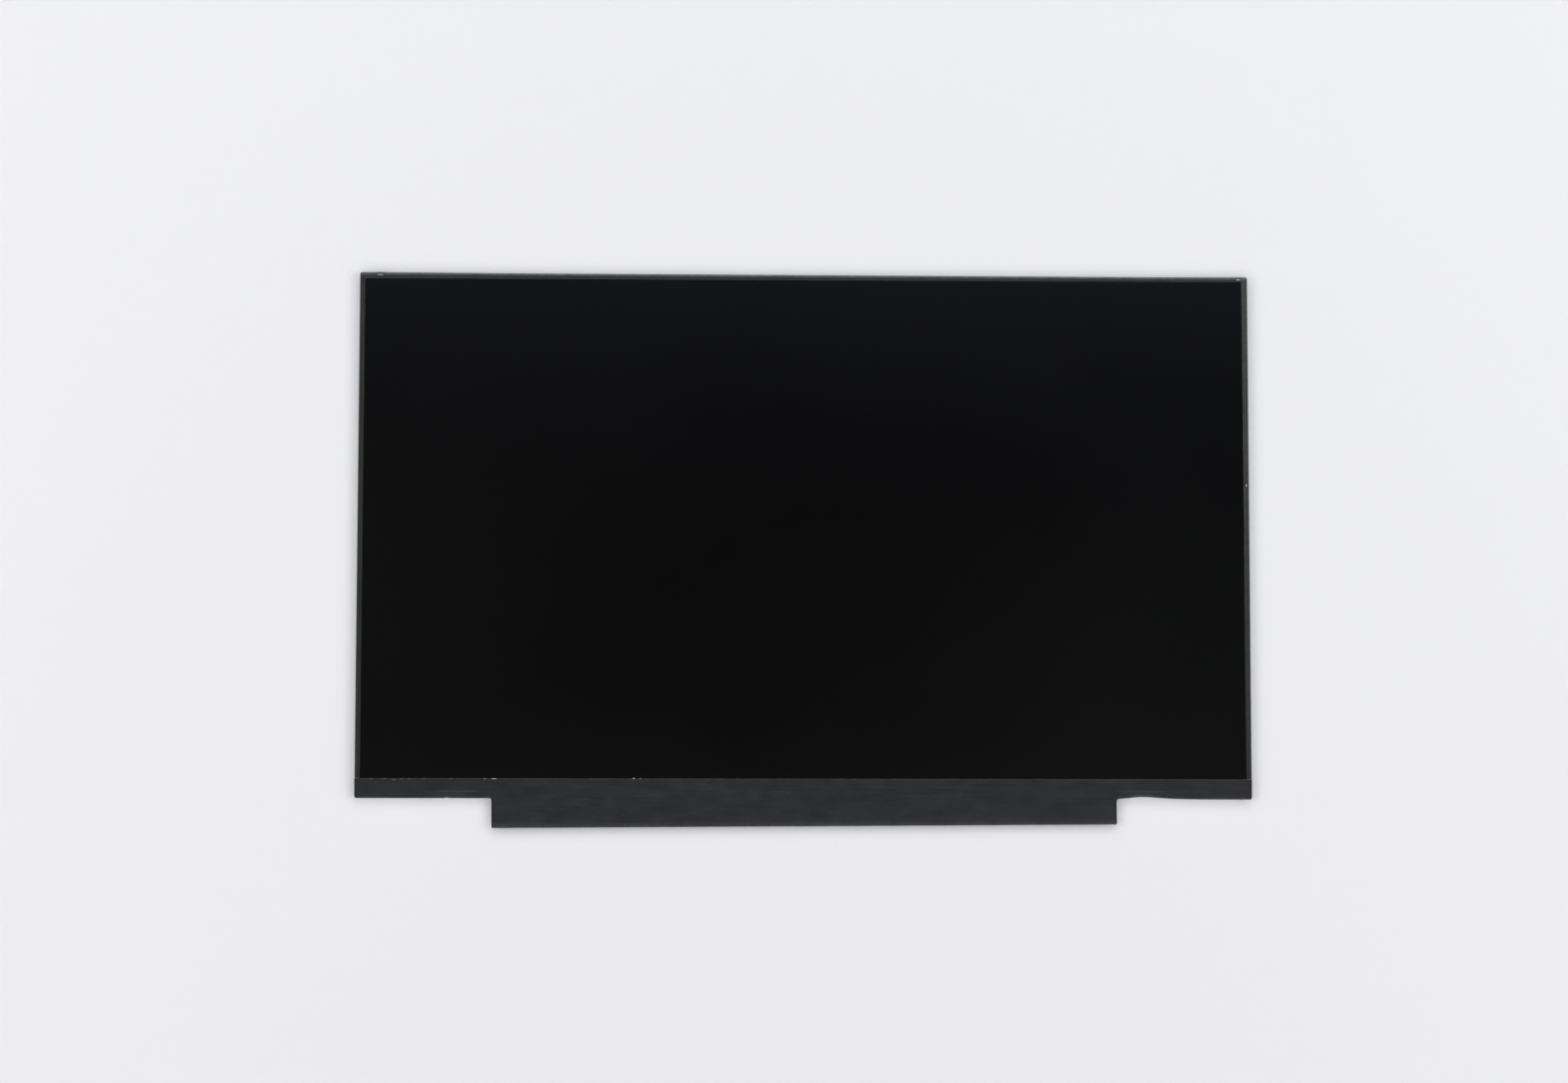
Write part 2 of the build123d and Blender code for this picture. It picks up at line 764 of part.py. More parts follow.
# Ceramic capacitors and resistors in their rows
with BuildPart() as ceramic_capacitors:
    with BuildSketch(board_plane):
        two_ended_rows(capacitor_rows, capacitor_pitch, capacitor_size[0], capacitor_size[1])
    extrude(amount=capacitor_size[2])
ceramic_capacitors.part.label = "ceramic_capacitors"
export_step(ceramic_capacitors.part, "parts/ceramic_capacitors.step")

with BuildPart() as chip_resistors:
    with BuildSketch(board_plane):
        two_ended_rows(resistor_rows, resistor_pitch, resistor_size[0], resistor_size[1])
    extrude(amount=resistor_size[2])
chip_resistors.part.label = "chip_resistors"
export_step(chip_resistors.part, "parts/chip_resistors.step")

# Socket contacts: a foot on the board and a spring along the floor of the mouth
first_contact = socket_place - (contact_count - 1) * contact_pitch / 2 - contact_width / 2
contact_plane = Plane(
    origin=board_plane.from_local_coords((first_contact, 0, 0)),
    x_dir=board_plane.y_dir,
    z_dir=board_plane.x_dir,
)
with BuildPart() as socket_contacts:
    for i in range(contact_count):
        with BuildSketch(contact_plane.offset(i * contact_pitch)):
            with BuildLine():
                Polyline(
                    (socket_back - contact_foot, 0),
                    (socket_back, 0),
                    (socket_back + mouth_floor, mouth_floor),
                    (mouth_edge - contact_set_back, mouth_floor),
                )
                offset(amount=contact_thickness, side=Side.LEFT)
            make_face()
        extrude(amount=contact_width)
socket_contacts.part.label = "socket_contacts"
export_step(socket_contacts.part, "parts/socket_contacts.step")

# Socket housing with its mouth, moulded round the contacts
with BuildPart() as socket_housing:
    with BuildSketch(board_plane):
        span(socket_place - socket_width / 2, socket_place + socket_width / 2, socket_back, mouth_edge)
    extrude(amount=socket_height)
    with BuildSketch(board_plane.offset(mouth_floor)):
        span(
            socket_place - mouth_width / 2,
            socket_place + mouth_width / 2,
            mouth_edge - mouth_depth,
            mouth_edge,
        )
    extrude(amount=mouth_height, mode=Mode.SUBTRACT)
    add(socket_contacts.part, mode=Mode.SUBTRACT)
socket_housing.part.label = "socket_housing"
export_step(socket_housing.part, "parts/socket_housing.step")

# Socket shell: folded sheet over the housing, with feet on the board and latch windows
shell_plane = Plane(
    origin=board_plane.from_local_coords((socket_place, mouth_edge, 0)),
    x_dir=board_plane.x_dir,
    z_dir=-board_plane.y_dir,
)
with BuildPart() as socket_shell:
    shell_half = socket_width / 2
    with BuildSketch(shell_plane):
        with BuildLine():
            Polyline(
                (-shell_half - shell_foot, 0),
                (-shell_half, 0),
                (-shell_half, socket_height),
                (shell_half, socket_height),
                (shell_half, 0),
                (shell_half + shell_foot, 0),
            )
            offset(amount=shell_thickness, side=Side.LEFT)
        make_face()
    extrude(amount=shell_depth)
    with BuildSketch(board_plane.offset(socket_height)):
        with Locations((socket_place, mouth_edge - shell_depth / 2)):
            with GridLocations(latch_window_spacing, 0, 3, 1):
                Rectangle(latch_window_width, latch_window_depth)
    extrude(amount=shell_thickness, mode=Mode.SUBTRACT)
socket_shell.part.label = "socket_shell"
export_step(socket_shell.part, "parts/socket_shell.step")

# Ground foil: laps under the rim of the rear plate and up to the rear of the board
foil_place = left_end + foil_from_end
with BuildPart() as ground_foil:
    foil_turn = low_edge - tape_gap
    with BuildSketch(Plane.YZ.offset(foil_place - foil_width / 2)):
        with BuildLine():
            FilletPolyline(
                (plate_low + foil_lap, plate_draw),
                (foil_turn, plate_draw),
                (foil_turn - foil_rise, board_rear),
                (foil_turn - foil_rise - foil_board_lap, board_rear),
                radius=foil_rise / 5,
            )
            offset(amount=foil_thickness, side=Side.LEFT)
        make_face()
    extrude(amount=foil_width)
ground_foil.part.label = "ground_foil"
export_step(ground_foil.part, "parts/ground_foil.step")

# Side edge tapes, folded from the front of the glass round the side to the rim of the plate
side_tape_low = tape_high + tape_butt_gap
side_tape_high = frame_top - top_bevel_run
side_tapes = [
    ("left_edge_tape", -1, screen_left - tape_gap, Side.RIGHT, 0),
    ("right_edge_tape", 1, screen_right + tape_gap, Side.LEFT, right_tape_taper),
]
for tape_name, side, tape_inner, outer_side, tape_taper in side_tapes:
    with BuildPart() as side_tape:
        with BuildSketch(Plane.XZ.offset(-side_tape_high)):
            with BuildLine():
                FilletPolyline(
                    (tape_inner, filter_front),
                    (side * frame_side, filter_front),
                    (side * frame_side, plate_draw),
                    (side * (half_width - rear_flap_width), plate_draw),
                    radius=(frame_edge_radius, plate_inset),
                )
                offset(amount=tape_thickness, side=outer_side)
            make_face()
        extrude(amount=side_tape_high - side_tape_low)
        if tape_taper > 0:
            with BuildSketch(Plane.XY.offset(filter_front)):
                with BuildLine():
                    Polyline(
                        (tape_inner, side_tape_low),
                        (tape_inner + side * tape_taper, side_tape_low),
                        (tape_inner, side_tape_high),
                        close=True,
                    )
                make_face()
            extrude(amount=tape_thickness, mode=Mode.SUBTRACT)
    side_tape.part.label = tape_name
    export_step(side_tape.part, f"parts/{tape_name}.step")

# Top edge tape: laid between the side tapes and on over their ends, round the bevel to the rear
top_tape_low = screen_top + tape_gap
top_tape_left = screen_left - tape_gap + tape_butt_gap
top_tape_right = screen_right + tape_gap - tape_butt_gap
with BuildPart() as top_edge_tape:
    with BuildSketch(Plane.YZ.offset(-frame_side)):
        with BuildLine():
            FilletPolyline(
                (top_tape_low, filter_front),
                *top_bevel[1:3],
                (frame_top, plate_draw),
                (top_edge - rear_flap_width, plate_draw),
                radius=(frame_edge_radius, frame_edge_radius, plate_inset),
            )
            offset(amount=tape_thickness, side=Side.LEFT)
        make_face()
    extrude(amount=2 * frame_side)
    with BuildSketch() as top_tape_outline:
        span(-frame_side, frame_side, side_tape_high + tape_butt_gap, top_edge)
        fillet(top_tape_outline.vertices().group_by(Axis.Y)[-1], top_bevel_run)
        with BuildLine():
            Polyline(
                (top_tape_left, top_tape_low),
                (top_tape_right, top_tape_low + top_tape_taper),
                (top_tape_right, top_edge),
                (top_tape_left, top_edge),
                close=True,
            )
        make_face()
    extrude(amount=screen_front, mode=Mode.INTERSECT)
top_edge_tape.part.label = "top_edge_tape"
export_step(top_edge_tape.part, "parts/top_edge_tape.step")

# Lower cover tape: steps down from the screen's edge over the films to the board, folds down
# both sides, and has a shallow bite out of its lower edge on the right
with BuildPart() as lower_cover_tape:
    tape_upper_line = [(y, z + tape_thickness) for y, z in reversed(bed_line)]
    with BuildSketch(Plane.YZ.offset(-half_width)):
        with BuildLine():
            Polyline(*bed_line, *tape_upper_line, close=True)
        make_face()
    extrude(amount=module_width)
    tongue_half = board_width / 2 + tongue_overlap
    scallop_radius = scallop_length**2 / (8 * scallop_depth) + scallop_depth / 2
    with BuildSketch() as tape_outline:
        span(-half_width, half_width, low_edge, tape_high)
        chamfer(tape_outline.vertices().group_by(Axis.Y)[0], tape_corner_cut)
        with Locations((half_width - scallop_from_corner, low_edge + scallop_depth - scallop_radius)):
            Circle(scallop_radius, mode=Mode.SUBTRACT)
        with Locations(Location((0, board_top, 0), (0, 0, board_skew))):
            tongue_drop = board_height + tongue_lip
            tongue_rise = board_gap + lower_wall
            with Locations((0, (tongue_rise - tongue_drop) / 2)):
                Rectangle(2 * tongue_half, tongue_rise + tongue_drop)
        fillet(tape_outline.vertices().sort_by(Axis.Y)[:2], tongue_corner_radius)
        root_reach = tongue_half + board_gap
        roots = tape_outline.vertices().filter_by_position(Axis.X, -root_reach, root_reach)
        roots = roots.filter_by_position(Axis.Y, low_edge - tape_gap, low_edge + tape_gap)
        fillet(roots, tongue_root_radius)
    extrude(amount=screen_front, mode=Mode.INTERSECT)
    with BuildSketch(Plane.YZ.offset(-half_width)):
        with BuildLine():
            Polyline(
                (tape_high, plate_draw),
                (tape_high, filter_front + tape_thickness),
                (filter_low, filter_front + tape_thickness),
                (filter_low - bed_run, film_front + tape_thickness),
                (low_edge + tape_corner_cut, film_front + tape_thickness),
                (low_edge + tape_corner_cut, plate_draw),
                close=True,
            )
        make_face()
    side_flap = extrude(amount=tape_thickness)
    mirror(side_flap, about=Plane.YZ)
lower_cover_tape.part.label = "lower_cover_tape"
export_step(lower_cover_tape.part, "parts/lower_cover_tape.step")
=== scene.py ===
import bpy
import json
import math
import random
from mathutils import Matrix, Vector, noise


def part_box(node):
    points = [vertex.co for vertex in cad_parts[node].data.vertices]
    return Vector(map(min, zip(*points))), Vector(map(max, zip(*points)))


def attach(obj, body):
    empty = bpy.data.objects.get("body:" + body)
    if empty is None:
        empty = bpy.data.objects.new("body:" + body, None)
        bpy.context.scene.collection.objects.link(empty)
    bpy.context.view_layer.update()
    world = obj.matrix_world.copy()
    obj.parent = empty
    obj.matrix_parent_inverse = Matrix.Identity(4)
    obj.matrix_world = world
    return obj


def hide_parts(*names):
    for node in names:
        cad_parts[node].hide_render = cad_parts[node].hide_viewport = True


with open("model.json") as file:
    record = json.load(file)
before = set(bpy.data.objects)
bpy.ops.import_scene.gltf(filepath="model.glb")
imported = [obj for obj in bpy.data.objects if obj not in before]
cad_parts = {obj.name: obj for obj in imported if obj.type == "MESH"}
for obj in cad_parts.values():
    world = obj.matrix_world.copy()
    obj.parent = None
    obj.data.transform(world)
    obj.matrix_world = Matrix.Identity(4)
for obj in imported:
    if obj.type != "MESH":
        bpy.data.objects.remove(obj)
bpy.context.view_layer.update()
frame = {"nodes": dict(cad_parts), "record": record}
nodes = frame["nodes"]
scene = bpy.context.scene
mm = 0.001
print("frame loaded,", len(nodes), "nodes")

# camera stands almost over the middle of the screen, a little to the lower left
cameraView = {
    "lens": 72.0, "sensor": 36.0,
    "place": (-41.09, -83.97, 1107.4), "turn": (4.2236, -1.7459, 0.0835),
}


def addCamera(view):
    data = bpy.data.cameras.new("overheadCamera")
    data.lens = view["lens"]
    data.sensor_width = view["sensor"]
    camera = bpy.data.objects.new("overheadCamera", data)
    camera.location = Vector(view["place"]) * mm
    camera.rotation_euler = [math.radians(a) for a in view["turn"]]
    scene.collection.objects.link(camera)
    scene.camera = camera


# floor that sweeps up into a round wall, so every side has the same pale backdrop, in metres
sweep = {
    "floorRadius": 1.9, "coveRadius": 0.8, "wallTop": 2.2, "turns": 96, "coveSteps": 12,
    "rings": (0.15, 0.35, 0.6, 0.8, 1.0),  # shares of the floor's radius
    "below": 0.00002,  # clear of the rear face that lies on it
    "tint": (0.8385, 0.8315, 0.8435), "roughness": 0.9,
    "glow": (0.86, 0.86, 0.88), "glowFrom": 0.42, "glowFull": 0.85,  # far floor and wall are pale in themselves
}


def addSweep(sweep):
    radius, cove, turns = sweep["floorRadius"], sweep["coveRadius"], sweep["turns"]
    profile = [(radius * share, 0.0) for share in sweep["rings"]]
    for i in range(1, sweep["coveSteps"] + 1):
        a = math.pi / 2 * i / sweep["coveSteps"]
        profile.append((radius + cove * math.sin(a), cove * (1 - math.cos(a))))
    profile.append((radius + cove, sweep["wallTop"]))
    points = [(0, 0, -sweep["below"])]
    for r, z in profile:
        for j in range(turns):
            a = 2 * math.pi * j / turns
            points.append((r * math.cos(a), r * math.sin(a), z - sweep["below"]))
    faces = [(0, 1 + j, 1 + (j + 1) % turns) for j in range(turns)]
    for i in range(len(profile) - 1):
        for j in range(turns):
            a, b = 1 + i * turns + j, 1 + i * turns + (j + 1) % turns
            faces.append((a, a + turns, b + turns, b))
    mesh = bpy.data.meshes.new("sweep")
    mesh.from_pydata(points, [], faces)
    mesh.polygons.foreach_set("use_smooth", [True] * len(mesh.polygons))
    floor = bpy.data.objects.new("sweep", mesh)
    scene.collection.objects.link(floor)
    floor.data.materials.append(sweepFinish(sweep))


# soft boxes stand well to the sides, so the screen mirrors only the dark above it
boxDistance = 1.3
softBoxes = {
    "topBox": {"azimuth": 90, "height": 37, "size": (1.5, 0.7), "watts": 9.6, "tint": (0.95, 0.97, 1.0)},
    "leftBox": {"azimuth": 184, "height": 33, "size": (1.1, 0.6), "watts": 7.9, "tint": (1.0, 1.0, 0.98)},
    "rightBox": {"azimuth": -4, "height": 33, "size": (1.1, 0.6), "watts": 7.9, "tint": (0.99, 1.0, 1.0)},
    "lowBox": {"azimuth": -90, "height": 32, "size": (1.4, 0.6), "watts": 5.3, "tint": (1.0, 0.99, 0.98)},
    # faint high ones give the screen its paler rim
    "highTopBox": {"azimuth": 88, "height": 72, "size": (1.3, 0.16), "watts": 0.88, "tint": (0.66, 0.72, 1.0)},
    "highLeftBox": {"azimuth": 168, "height": 72, "size": (0.16, 0.5), "watts": 0.075, "tint": (0.95, 1.0, 1.0)},
    "highRightBox": {"azimuth": 0, "height": 72, "size": (0.16, 0.5), "watts": 0.07, "tint": (0.84, 0.92, 1.0)},
    "highLowBox": {"azimuth": -90, "height": 79, "size": (0.9, 0.12), "watts": 0.42, "tint": (0.95, 0.95, 1.0)},
}
darkRoom = {"tint": (0.9, 0.93, 1.0), "strength": 0.03}


def addLights(boxes, room):
    for name, box in boxes.items():
        data = bpy.data.lights.new(name, "AREA")
        data.shape = "RECTANGLE"
        data.size, data.size_y = box["size"]
        data.energy = box["watts"]
        data.color = box["tint"]
        lamp = bpy.data.objects.new(name, data)
        a, h = math.radians(box["azimuth"]), math.radians(box["height"])
        toward = Vector((math.cos(a) * math.cos(h), math.sin(a) * math.cos(h), math.sin(h)))
        lamp.location = toward * boxDistance
        lamp.rotation_euler = toward.to_track_quat("Z", "Y").to_euler()
        scene.collection.objects.link(lamp)
    world = bpy.data.worlds.new("darkRoom")
    world.use_nodes = True
    background = world.node_tree.nodes["Background"]
    background.inputs["Color"].default_value = (*room["tint"], 1)
    background.inputs["Strength"].default_value = room["strength"]
    scene.world = world
    scene.view_settings.view_transform = "Standard"


# small helpers for the finishes
def startFinish(name, roughness=0.5, metal=0.0, specular=0.5):
    finish = bpy.data.materials.new(name)
    finish.use_nodes = True
    tree = finish.node_tree
    shader = tree.nodes["Principled BSDF"]
    shader.inputs["Roughness"].default_value = roughness
    shader.inputs["Metallic"].default_value = metal
    shader.inputs["Specular IOR Level"].default_value = specular
    return finish, tree, shader


def addNode(tree, kind, values=None, links=None, **options):
    node = tree.nodes.new("ShaderNode" + kind)
    for key, value in options.items():
        setattr(node, key, value)
    for socket, value in (values or {}).items():
        node.inputs[socket].default_value = value
    for socket, source in (links or {}).items():
        tree.links.new(source, node.inputs[socket])
    return node


def spot(tree, stretch=(1, 1, 1)):
    coords = addNode(tree, "TexCoord")
    mapping = addNode(tree, "Mapping", {"Scale": stretch}, {"Vector": coords.outputs["Object"]})
    return mapping.outputs["Vector"]


def grain(tree, scale, stretch=(1, 1, 1), detail=3.0, rough=0.5):
    values = {"Scale": scale, "Detail": detail, "Roughness": rough}
    return addNode(tree, "TexNoise", values, {"Vector": spot(tree, stretch)}).outputs["Fac"]


def ramp(tree, factor, stops):
    node = addNode(tree, "ValToRGB", links={"Fac": factor})
    bar = node.color_ramp.elements
    while len(bar) < len(stops):
        bar.new(0.5)
    for element, (position, colour) in zip(bar, stops):
        element.position = position
        element.color = (*colour, 1)
    return node.outputs["Color"]


def spread(tree, factor, low, high, start=0.3, end=0.7):
    values = {"From Min": start, "From Max": end, "To Min": low, "To Max": high}
    return addNode(tree, "MapRange", values, {"Value": factor}).outputs["Result"]


def sums(tree, kind, first, second):
    node = addNode(tree, "Math", operation=kind)
    for socket, value in zip(node.inputs, (first, second)):
        if isinstance(value, (int, float)):
            socket.default_value = value
        else:
            tree.links.new(value, socket)
    return node.outputs["Value"]


def blend(tree, first, second, share):  # share of the first, the rest of the second
    parts = sums(tree, "MULTIPLY", first, share), sums(tree, "MULTIPLY", second, 1 - share)
    return sums(tree, "ADD", *parts)


def overlay(tree, factor, under, over):
    node = addNode(tree, "Mix", data_type="RGBA")
    tree.links.new(factor, node.inputs["Factor"])
    colourIn = [s for s in node.inputs if s.type == "RGBA"]
    for socket, value in zip(colourIn, (under, over)):
        if isinstance(value, tuple):
            socket.default_value = (*value, 1)
        else:
            tree.links.new(value, socket)
    return [s for s in node.outputs if s.type == "RGBA"][0]


def twoTones(tree, factor, look):
    return ramp(tree, factor, [(0.32, look["dark"]), (0.68, look["pale"])])


def rough(tree, shader, height, strength, depth):  # depth in metres
    node = addNode(tree, "Bump", {"Strength": strength, "Distance": depth}, {"Height": height})
    tree.links.new(node.outputs["Normal"], shader.inputs["Normal"])


def paint(tree, shader, colour, roughness):
    tree.links.new(colour, shader.inputs["Base Color"])
    tree.links.new(roughness, shader.inputs["Roughness"])


def axisBand(tree, axis, low, high):  # 0 below low, 1 above high, along one axis of the part
    coords = addNode(tree, "TexCoord")
    split = addNode(tree, "SeparateXYZ", links={"Vector": coords.outputs["Object"]})
    return spread(tree, split.outputs[axis], 0.0, 1.0, low, high)


def wearAndHighlightEdge(tree):  # the tapes carry a value on their points, wear and painted highlight together, broken up here
    wear = addNode(tree, "Attribute", attribute_name="wear").outputs["Fac"]
    return sums(tree, "MULTIPLY", wear, spread(tree, grain(tree, 700), 0.35, 1, 0.3, 0.62))


def sweepFinish(sweep):
    finish, tree, shader = startFinish("paleFloor", sweep["roughness"], specular=0.0)
    finish.cycles.emission_sampling = "NONE"  # the glow is only seen, it lights nothing
    shader.inputs["Base Color"].default_value = (*sweep["tint"], 1)
    coords = addNode(tree, "TexCoord")
    reach = addNode(tree, "VectorMath", links={"Vector": coords.outputs["Object"]}, operation="LENGTH")
    far = spread(tree, reach.outputs["Value"], 0.0, 1.0, sweep["glowFrom"], sweep["glowFull"])
    ray = addNode(tree, "LightPath").outputs
    seen = sums(tree, "MAXIMUM", ray["Is Camera Ray"], ray["Is Glossy Ray"])
    seen = sums(tree, "MAXIMUM", seen, ray["Is Transmission Ray"])
    glow = addNode(tree, "Emission", {"Color": (*sweep["glow"], 1), "Strength": 1.0})
    links = {0: sums(tree, "MULTIPLY", far, seen), 1: shader.outputs["BSDF"], 2: glow.outputs["Emission"]}
    mixed = addNode(tree, "MixShader", links=links)
    tree.links.new(mixed.outputs["Shader"], tree.nodes["Material Output"].inputs["Surface"])
    return finish


addCamera(cameraView)
addSweep(sweep)
addLights(softBoxes, darkRoom)
print("camera, floor and lights set")

# anti-glare film: black, satin, with a fine grain and faint clouding
screenFilm = {
    "dark": (0.0003, 0.0003, 0.0003), "pale": (0.0006, 0.0006, 0.0006),
    "gloss": 0.25, "sheen": (1.0, 0.985, 0.94), "roughness": (0.22, 0.25),
    "cloud": 13, "cloudShare": 0.6, "grain": 6500, "bump": (0.12, 0.00002),
}


def screenFinish(film):
    finish, tree, shader = startFinish("antiGlareFilm", specular=film["gloss"])
    shader.inputs["Specular Tint"].default_value = (*film["sheen"], 1)
    cloud = grain(tree, film["cloud"], detail=2)
    fine = grain(tree, film["grain"], detail=2, rough=0.6)
    tone = ramp(tree, cloud, [(0.3, film["dark"]), (0.7, film["pale"])])
    mixed = blend(tree, cloud, fine, film["cloudShare"])
    paint(tree, shader, tone, spread(tree, mixed, *film["roughness"]))
    rough(tree, shader, fine, *film["bump"])
    return finish


# thin black polyester tape: long rolling streaks, mottling, a painted highlight band with dust specks along the
# upper cut edge, fine rubs
coverTapeLook = {
    "dark": (0.0072, 0.0085, 0.0112), "pale": (0.0146, 0.0169, 0.0208),
    # the worn tone is also the tone of the painted highlights
    "rub": (0.042, 0.044, 0.046), "dust": (0.060, 0.058, 0.052), "worn": (0.100, 0.097, 0.084),
    "roughness": (0.42, 0.52), "gloss": 0.35, "dustEdge": (-86.27, -85.97),
    "streak": (70, 1300, 70), "blotch": 160, "streakShare": 0.45,
    "rubLines": (240, 2600, 300), "rubPatch": 90, "specks": 420, "grain": 3800, "bump": (0.18, 0.00002),
}


def coverTapeFinish(look):
    finish, tree, shader = startFinish("coverTape", specular=look["gloss"])
    streak = grain(tree, 1.0, look["streak"], 4)
    blotch = grain(tree, look["blotch"], (1, 1.6, 1))
    mixed = blend(tree, streak, blotch, look["streakShare"])
    colour = twoTones(tree, mixed, look)
    rubs = spread(tree, grain(tree, 1.0, look["rubLines"], 2, 0.4), 0, 1, 0.66, 0.76)
    rubs = sums(tree, "MULTIPLY", rubs, spread(tree, grain(tree, look["rubPatch"]), 0, 1, 0.5, 0.62))
    colour = overlay(tree, rubs, colour, look["rub"])
    # painted highlight with dust specks: a pale specked band along the upper cut edge
    low, high = (v * mm for v in look["dustEdge"])
    specks = spread(tree, grain(tree, look["specks"]), 0.15, 1, 0.38, 0.62)
    dust = sums(tree, "MULTIPLY", axisBand(tree, "Y", low, high), specks)
    colour = overlay(tree, dust, colour, look["dust"])
    colour = overlay(tree, wearAndHighlightEdge(tree), colour, look["worn"])
    paint(tree, shader, colour, spread(tree, mixed, *look["roughness"]))
    rough(tree, shader, grain(tree, look["grain"], detail=2), *look["bump"])
    return finish


# edge tape is the same film, a shade greyer, with wear along its folds and a painted highlight on the top tape's
# outer band and the right tape's upper part; down the sides it is greener
edgeTapeFilm = {
    "roughness": (0.40, 0.50), "gloss": 0.35,
    "streak": (900, 60, 300), "blotch": 260, "streakShare": 0.4, "grain": 3000, "bump": (0.2, 0.00002),
}
# each worn tone is also the tone of that tape's painted highlights
edgeTapeLooks = {
    "topTape": {"dark": (0.0136, 0.0156, 0.0164), "pale": (0.0205, 0.0230, 0.0240), "worn": (0.125, 0.127, 0.133)},
    "sideTape": {"dark": (0.0116, 0.0126, 0.0108), "pale": (0.0168, 0.0182, 0.0162), "worn": (0.125, 0.154, 0.130)},
}


def edgeTapeFinish(name, look, film):
    finish, tree, shader = startFinish(name, specular=film["gloss"])
    streak = grain(tree, 1.0, film["streak"])
    blotch = grain(tree, film["blotch"])
    mixed = blend(tree, streak, blotch, film["streakShare"])
    colour = overlay(tree, wearAndHighlightEdge(tree), twoTones(tree, mixed, look), look["worn"])
    paint(tree, shader, colour, spread(tree, mixed, *film["roughness"]))
    rough(tree, shader, grain(tree, film["grain"], detail=2), *film["bump"])
    return finish


# finishes that are one colour, mottled: dark tone, pale tone, size of the mottling, roughness range
plainLooks = {
    "tapeEdge": ((0.030, 0.031, 0.032), (0.055, 0.055, 0.053), 900, (0.5, 0.6)),
    "frameWhite": ((0.70, 0.71, 0.70), (0.78, 0.785, 0.775), 140, (0.38, 0.5)),
    "rearFilm": ((0.012, 0.012, 0.015), (0.02, 0.02, 0.025), 60, (0.15, 0.25)),
    "cellGlass": ((0.0045, 0.0055, 0.0052), (0.008, 0.0095, 0.009), 90, (0.06, 0.12)),
    "plateMetal": ((0.57, 0.58, 0.59), (0.635, 0.64, 0.645), 1.0, (0.34, 0.42)),
    "whiteSheet": ((0.82, 0.83, 0.83), (0.88, 0.885, 0.885), 40, (0.3, 0.45)),
    "clearGuide": ((0.74, 0.78, 0.78), (0.82, 0.85, 0.85), 400, (0.08, 0.16)),
    "lampBody": ((0.74, 0.72, 0.62), (0.80, 0.78, 0.68), 500, (0.35, 0.5)),
    "chipBlack": ((0.013, 0.013, 0.014), (0.024, 0.024, 0.025), 2600, (0.48, 0.62)),
    "silicon": ((0.030, 0.033, 0.042), (0.05, 0.053, 0.065), 700, (0.12, 0.2)),
    "ferrite": ((0.028, 0.028, 0.03), (0.055, 0.055, 0.057), 1800, (0.55, 0.7)),
    "capacitorCeramic": ((0.30, 0.20, 0.12), (0.40, 0.28, 0.17), 900, (0.35, 0.5)),
    "resistorCeramic": ((0.02, 0.02, 0.022), (0.035, 0.035, 0.04), 1400, (0.3, 0.45)),
    "fuseCeramic": ((0.52, 0.54, 0.50), (0.64, 0.65, 0.60), 900, (0.35, 0.5)),
    "socketPlastic": ((0.035, 0.034, 0.033), (0.055, 0.053, 0.05), 900, (0.4, 0.55)),
    "socketSteel": ((0.62, 0.61, 0.59), (0.69, 0.68, 0.66), 1.0, (0.24, 0.32)),
    "contactGold": ((0.72, 0.51, 0.22), (0.83, 0.61, 0.29), 1500, (0.2, 0.32)),
    "solderTin": ((0.62, 0.62, 0.62), (0.74, 0.74, 0.735), 2400, (0.25, 0.4)),
    "foil": ((0.66, 0.67, 0.68), (0.80, 0.805, 0.81), 300, (0.2, 0.34)),
    "paleFlake": ((0.70, 0.69, 0.62), (0.90, 0.895, 0.87), 1200, (0.5, 0.65)),
    "strawFlake": ((0.16, 0.14, 0.07), (0.30, 0.27, 0.15), 1500, (0.5, 0.65)),
    "maskedCopper": ((0.020, 0.115, 0.055), (0.030, 0.145, 0.070), 500, (0.26, 0.36)),
    "boardPrint": ((0.55, 0.56, 0.54), (0.70, 0.70, 0.68), 2200, (0.5, 0.65)),
}
metals = ["plateMetal", "socketSteel", "contactGold", "solderTin", "foil"]
rollingLines = {"plateMetal": (110, 5600, 110), "socketSteel": (160, 6500, 160)}  # mottling drawn out along X


def plainFinish(name, dark, pale, scale, roughness):
    finish, tree, shader = startFinish(name, metal=1.0 if name in metals else 0.0)
    mottle = grain(tree, scale, rollingLines.get(name, (1, 1, 1)))
    tones = twoTones(tree, mottle, {"dark": dark, "pale": pale})
    paint(tree, shader, tones, spread(tree, mottle, *roughness))
    rough(tree, shader, mottle, 0.15, 0.00001)
    return finish


# polyimide film with copper runs showing through it
amberFlexLook = {"film": (0.070, 0.052, 0.034), "runs": (0.132, 0.094, 0.058), "sizes": (120, 1050)}


def amberFlexFinish(look):
    finish, tree, shader = startFinish("amberFlex", 0.28)
    bands = []
    for size in look["sizes"]:
        values, links = {"Scale": size, "Distortion": 0.0}, {"Vector": spot(tree)}
        bands.append(addNode(tree, "TexWave", values, links, bands_direction="X"))
    wide, fine = (spread(tree, band.outputs["Fac"], 0, 1, 0.16, 0.26) for band in bands)
    lines = sums(tree, "MULTIPLY", wide, sums(tree, "ADD", 0.55, sums(tree, "MULTIPLY", fine, 0.45)))
    cloud = spread(tree, grain(tree, 120), 0.3, 1, 0.35, 0.6)
    colour = overlay(tree, sums(tree, "MULTIPLY", lines, cloud), look["film"], look["runs"])
    paint(tree, shader, colour, spread(tree, grain(tree, 300), 0.22, 0.34))
    rough(tree, shader, lines, 0.2, 0.00002)
    return finish


# solder mask over copper: pours show as a paler green, with a fine weave from the laminate
boardLook = {"mask": (0.010, 0.060, 0.030), "pour": (0.018, 0.095, 0.048), "weave": 1300, "cells": 170}


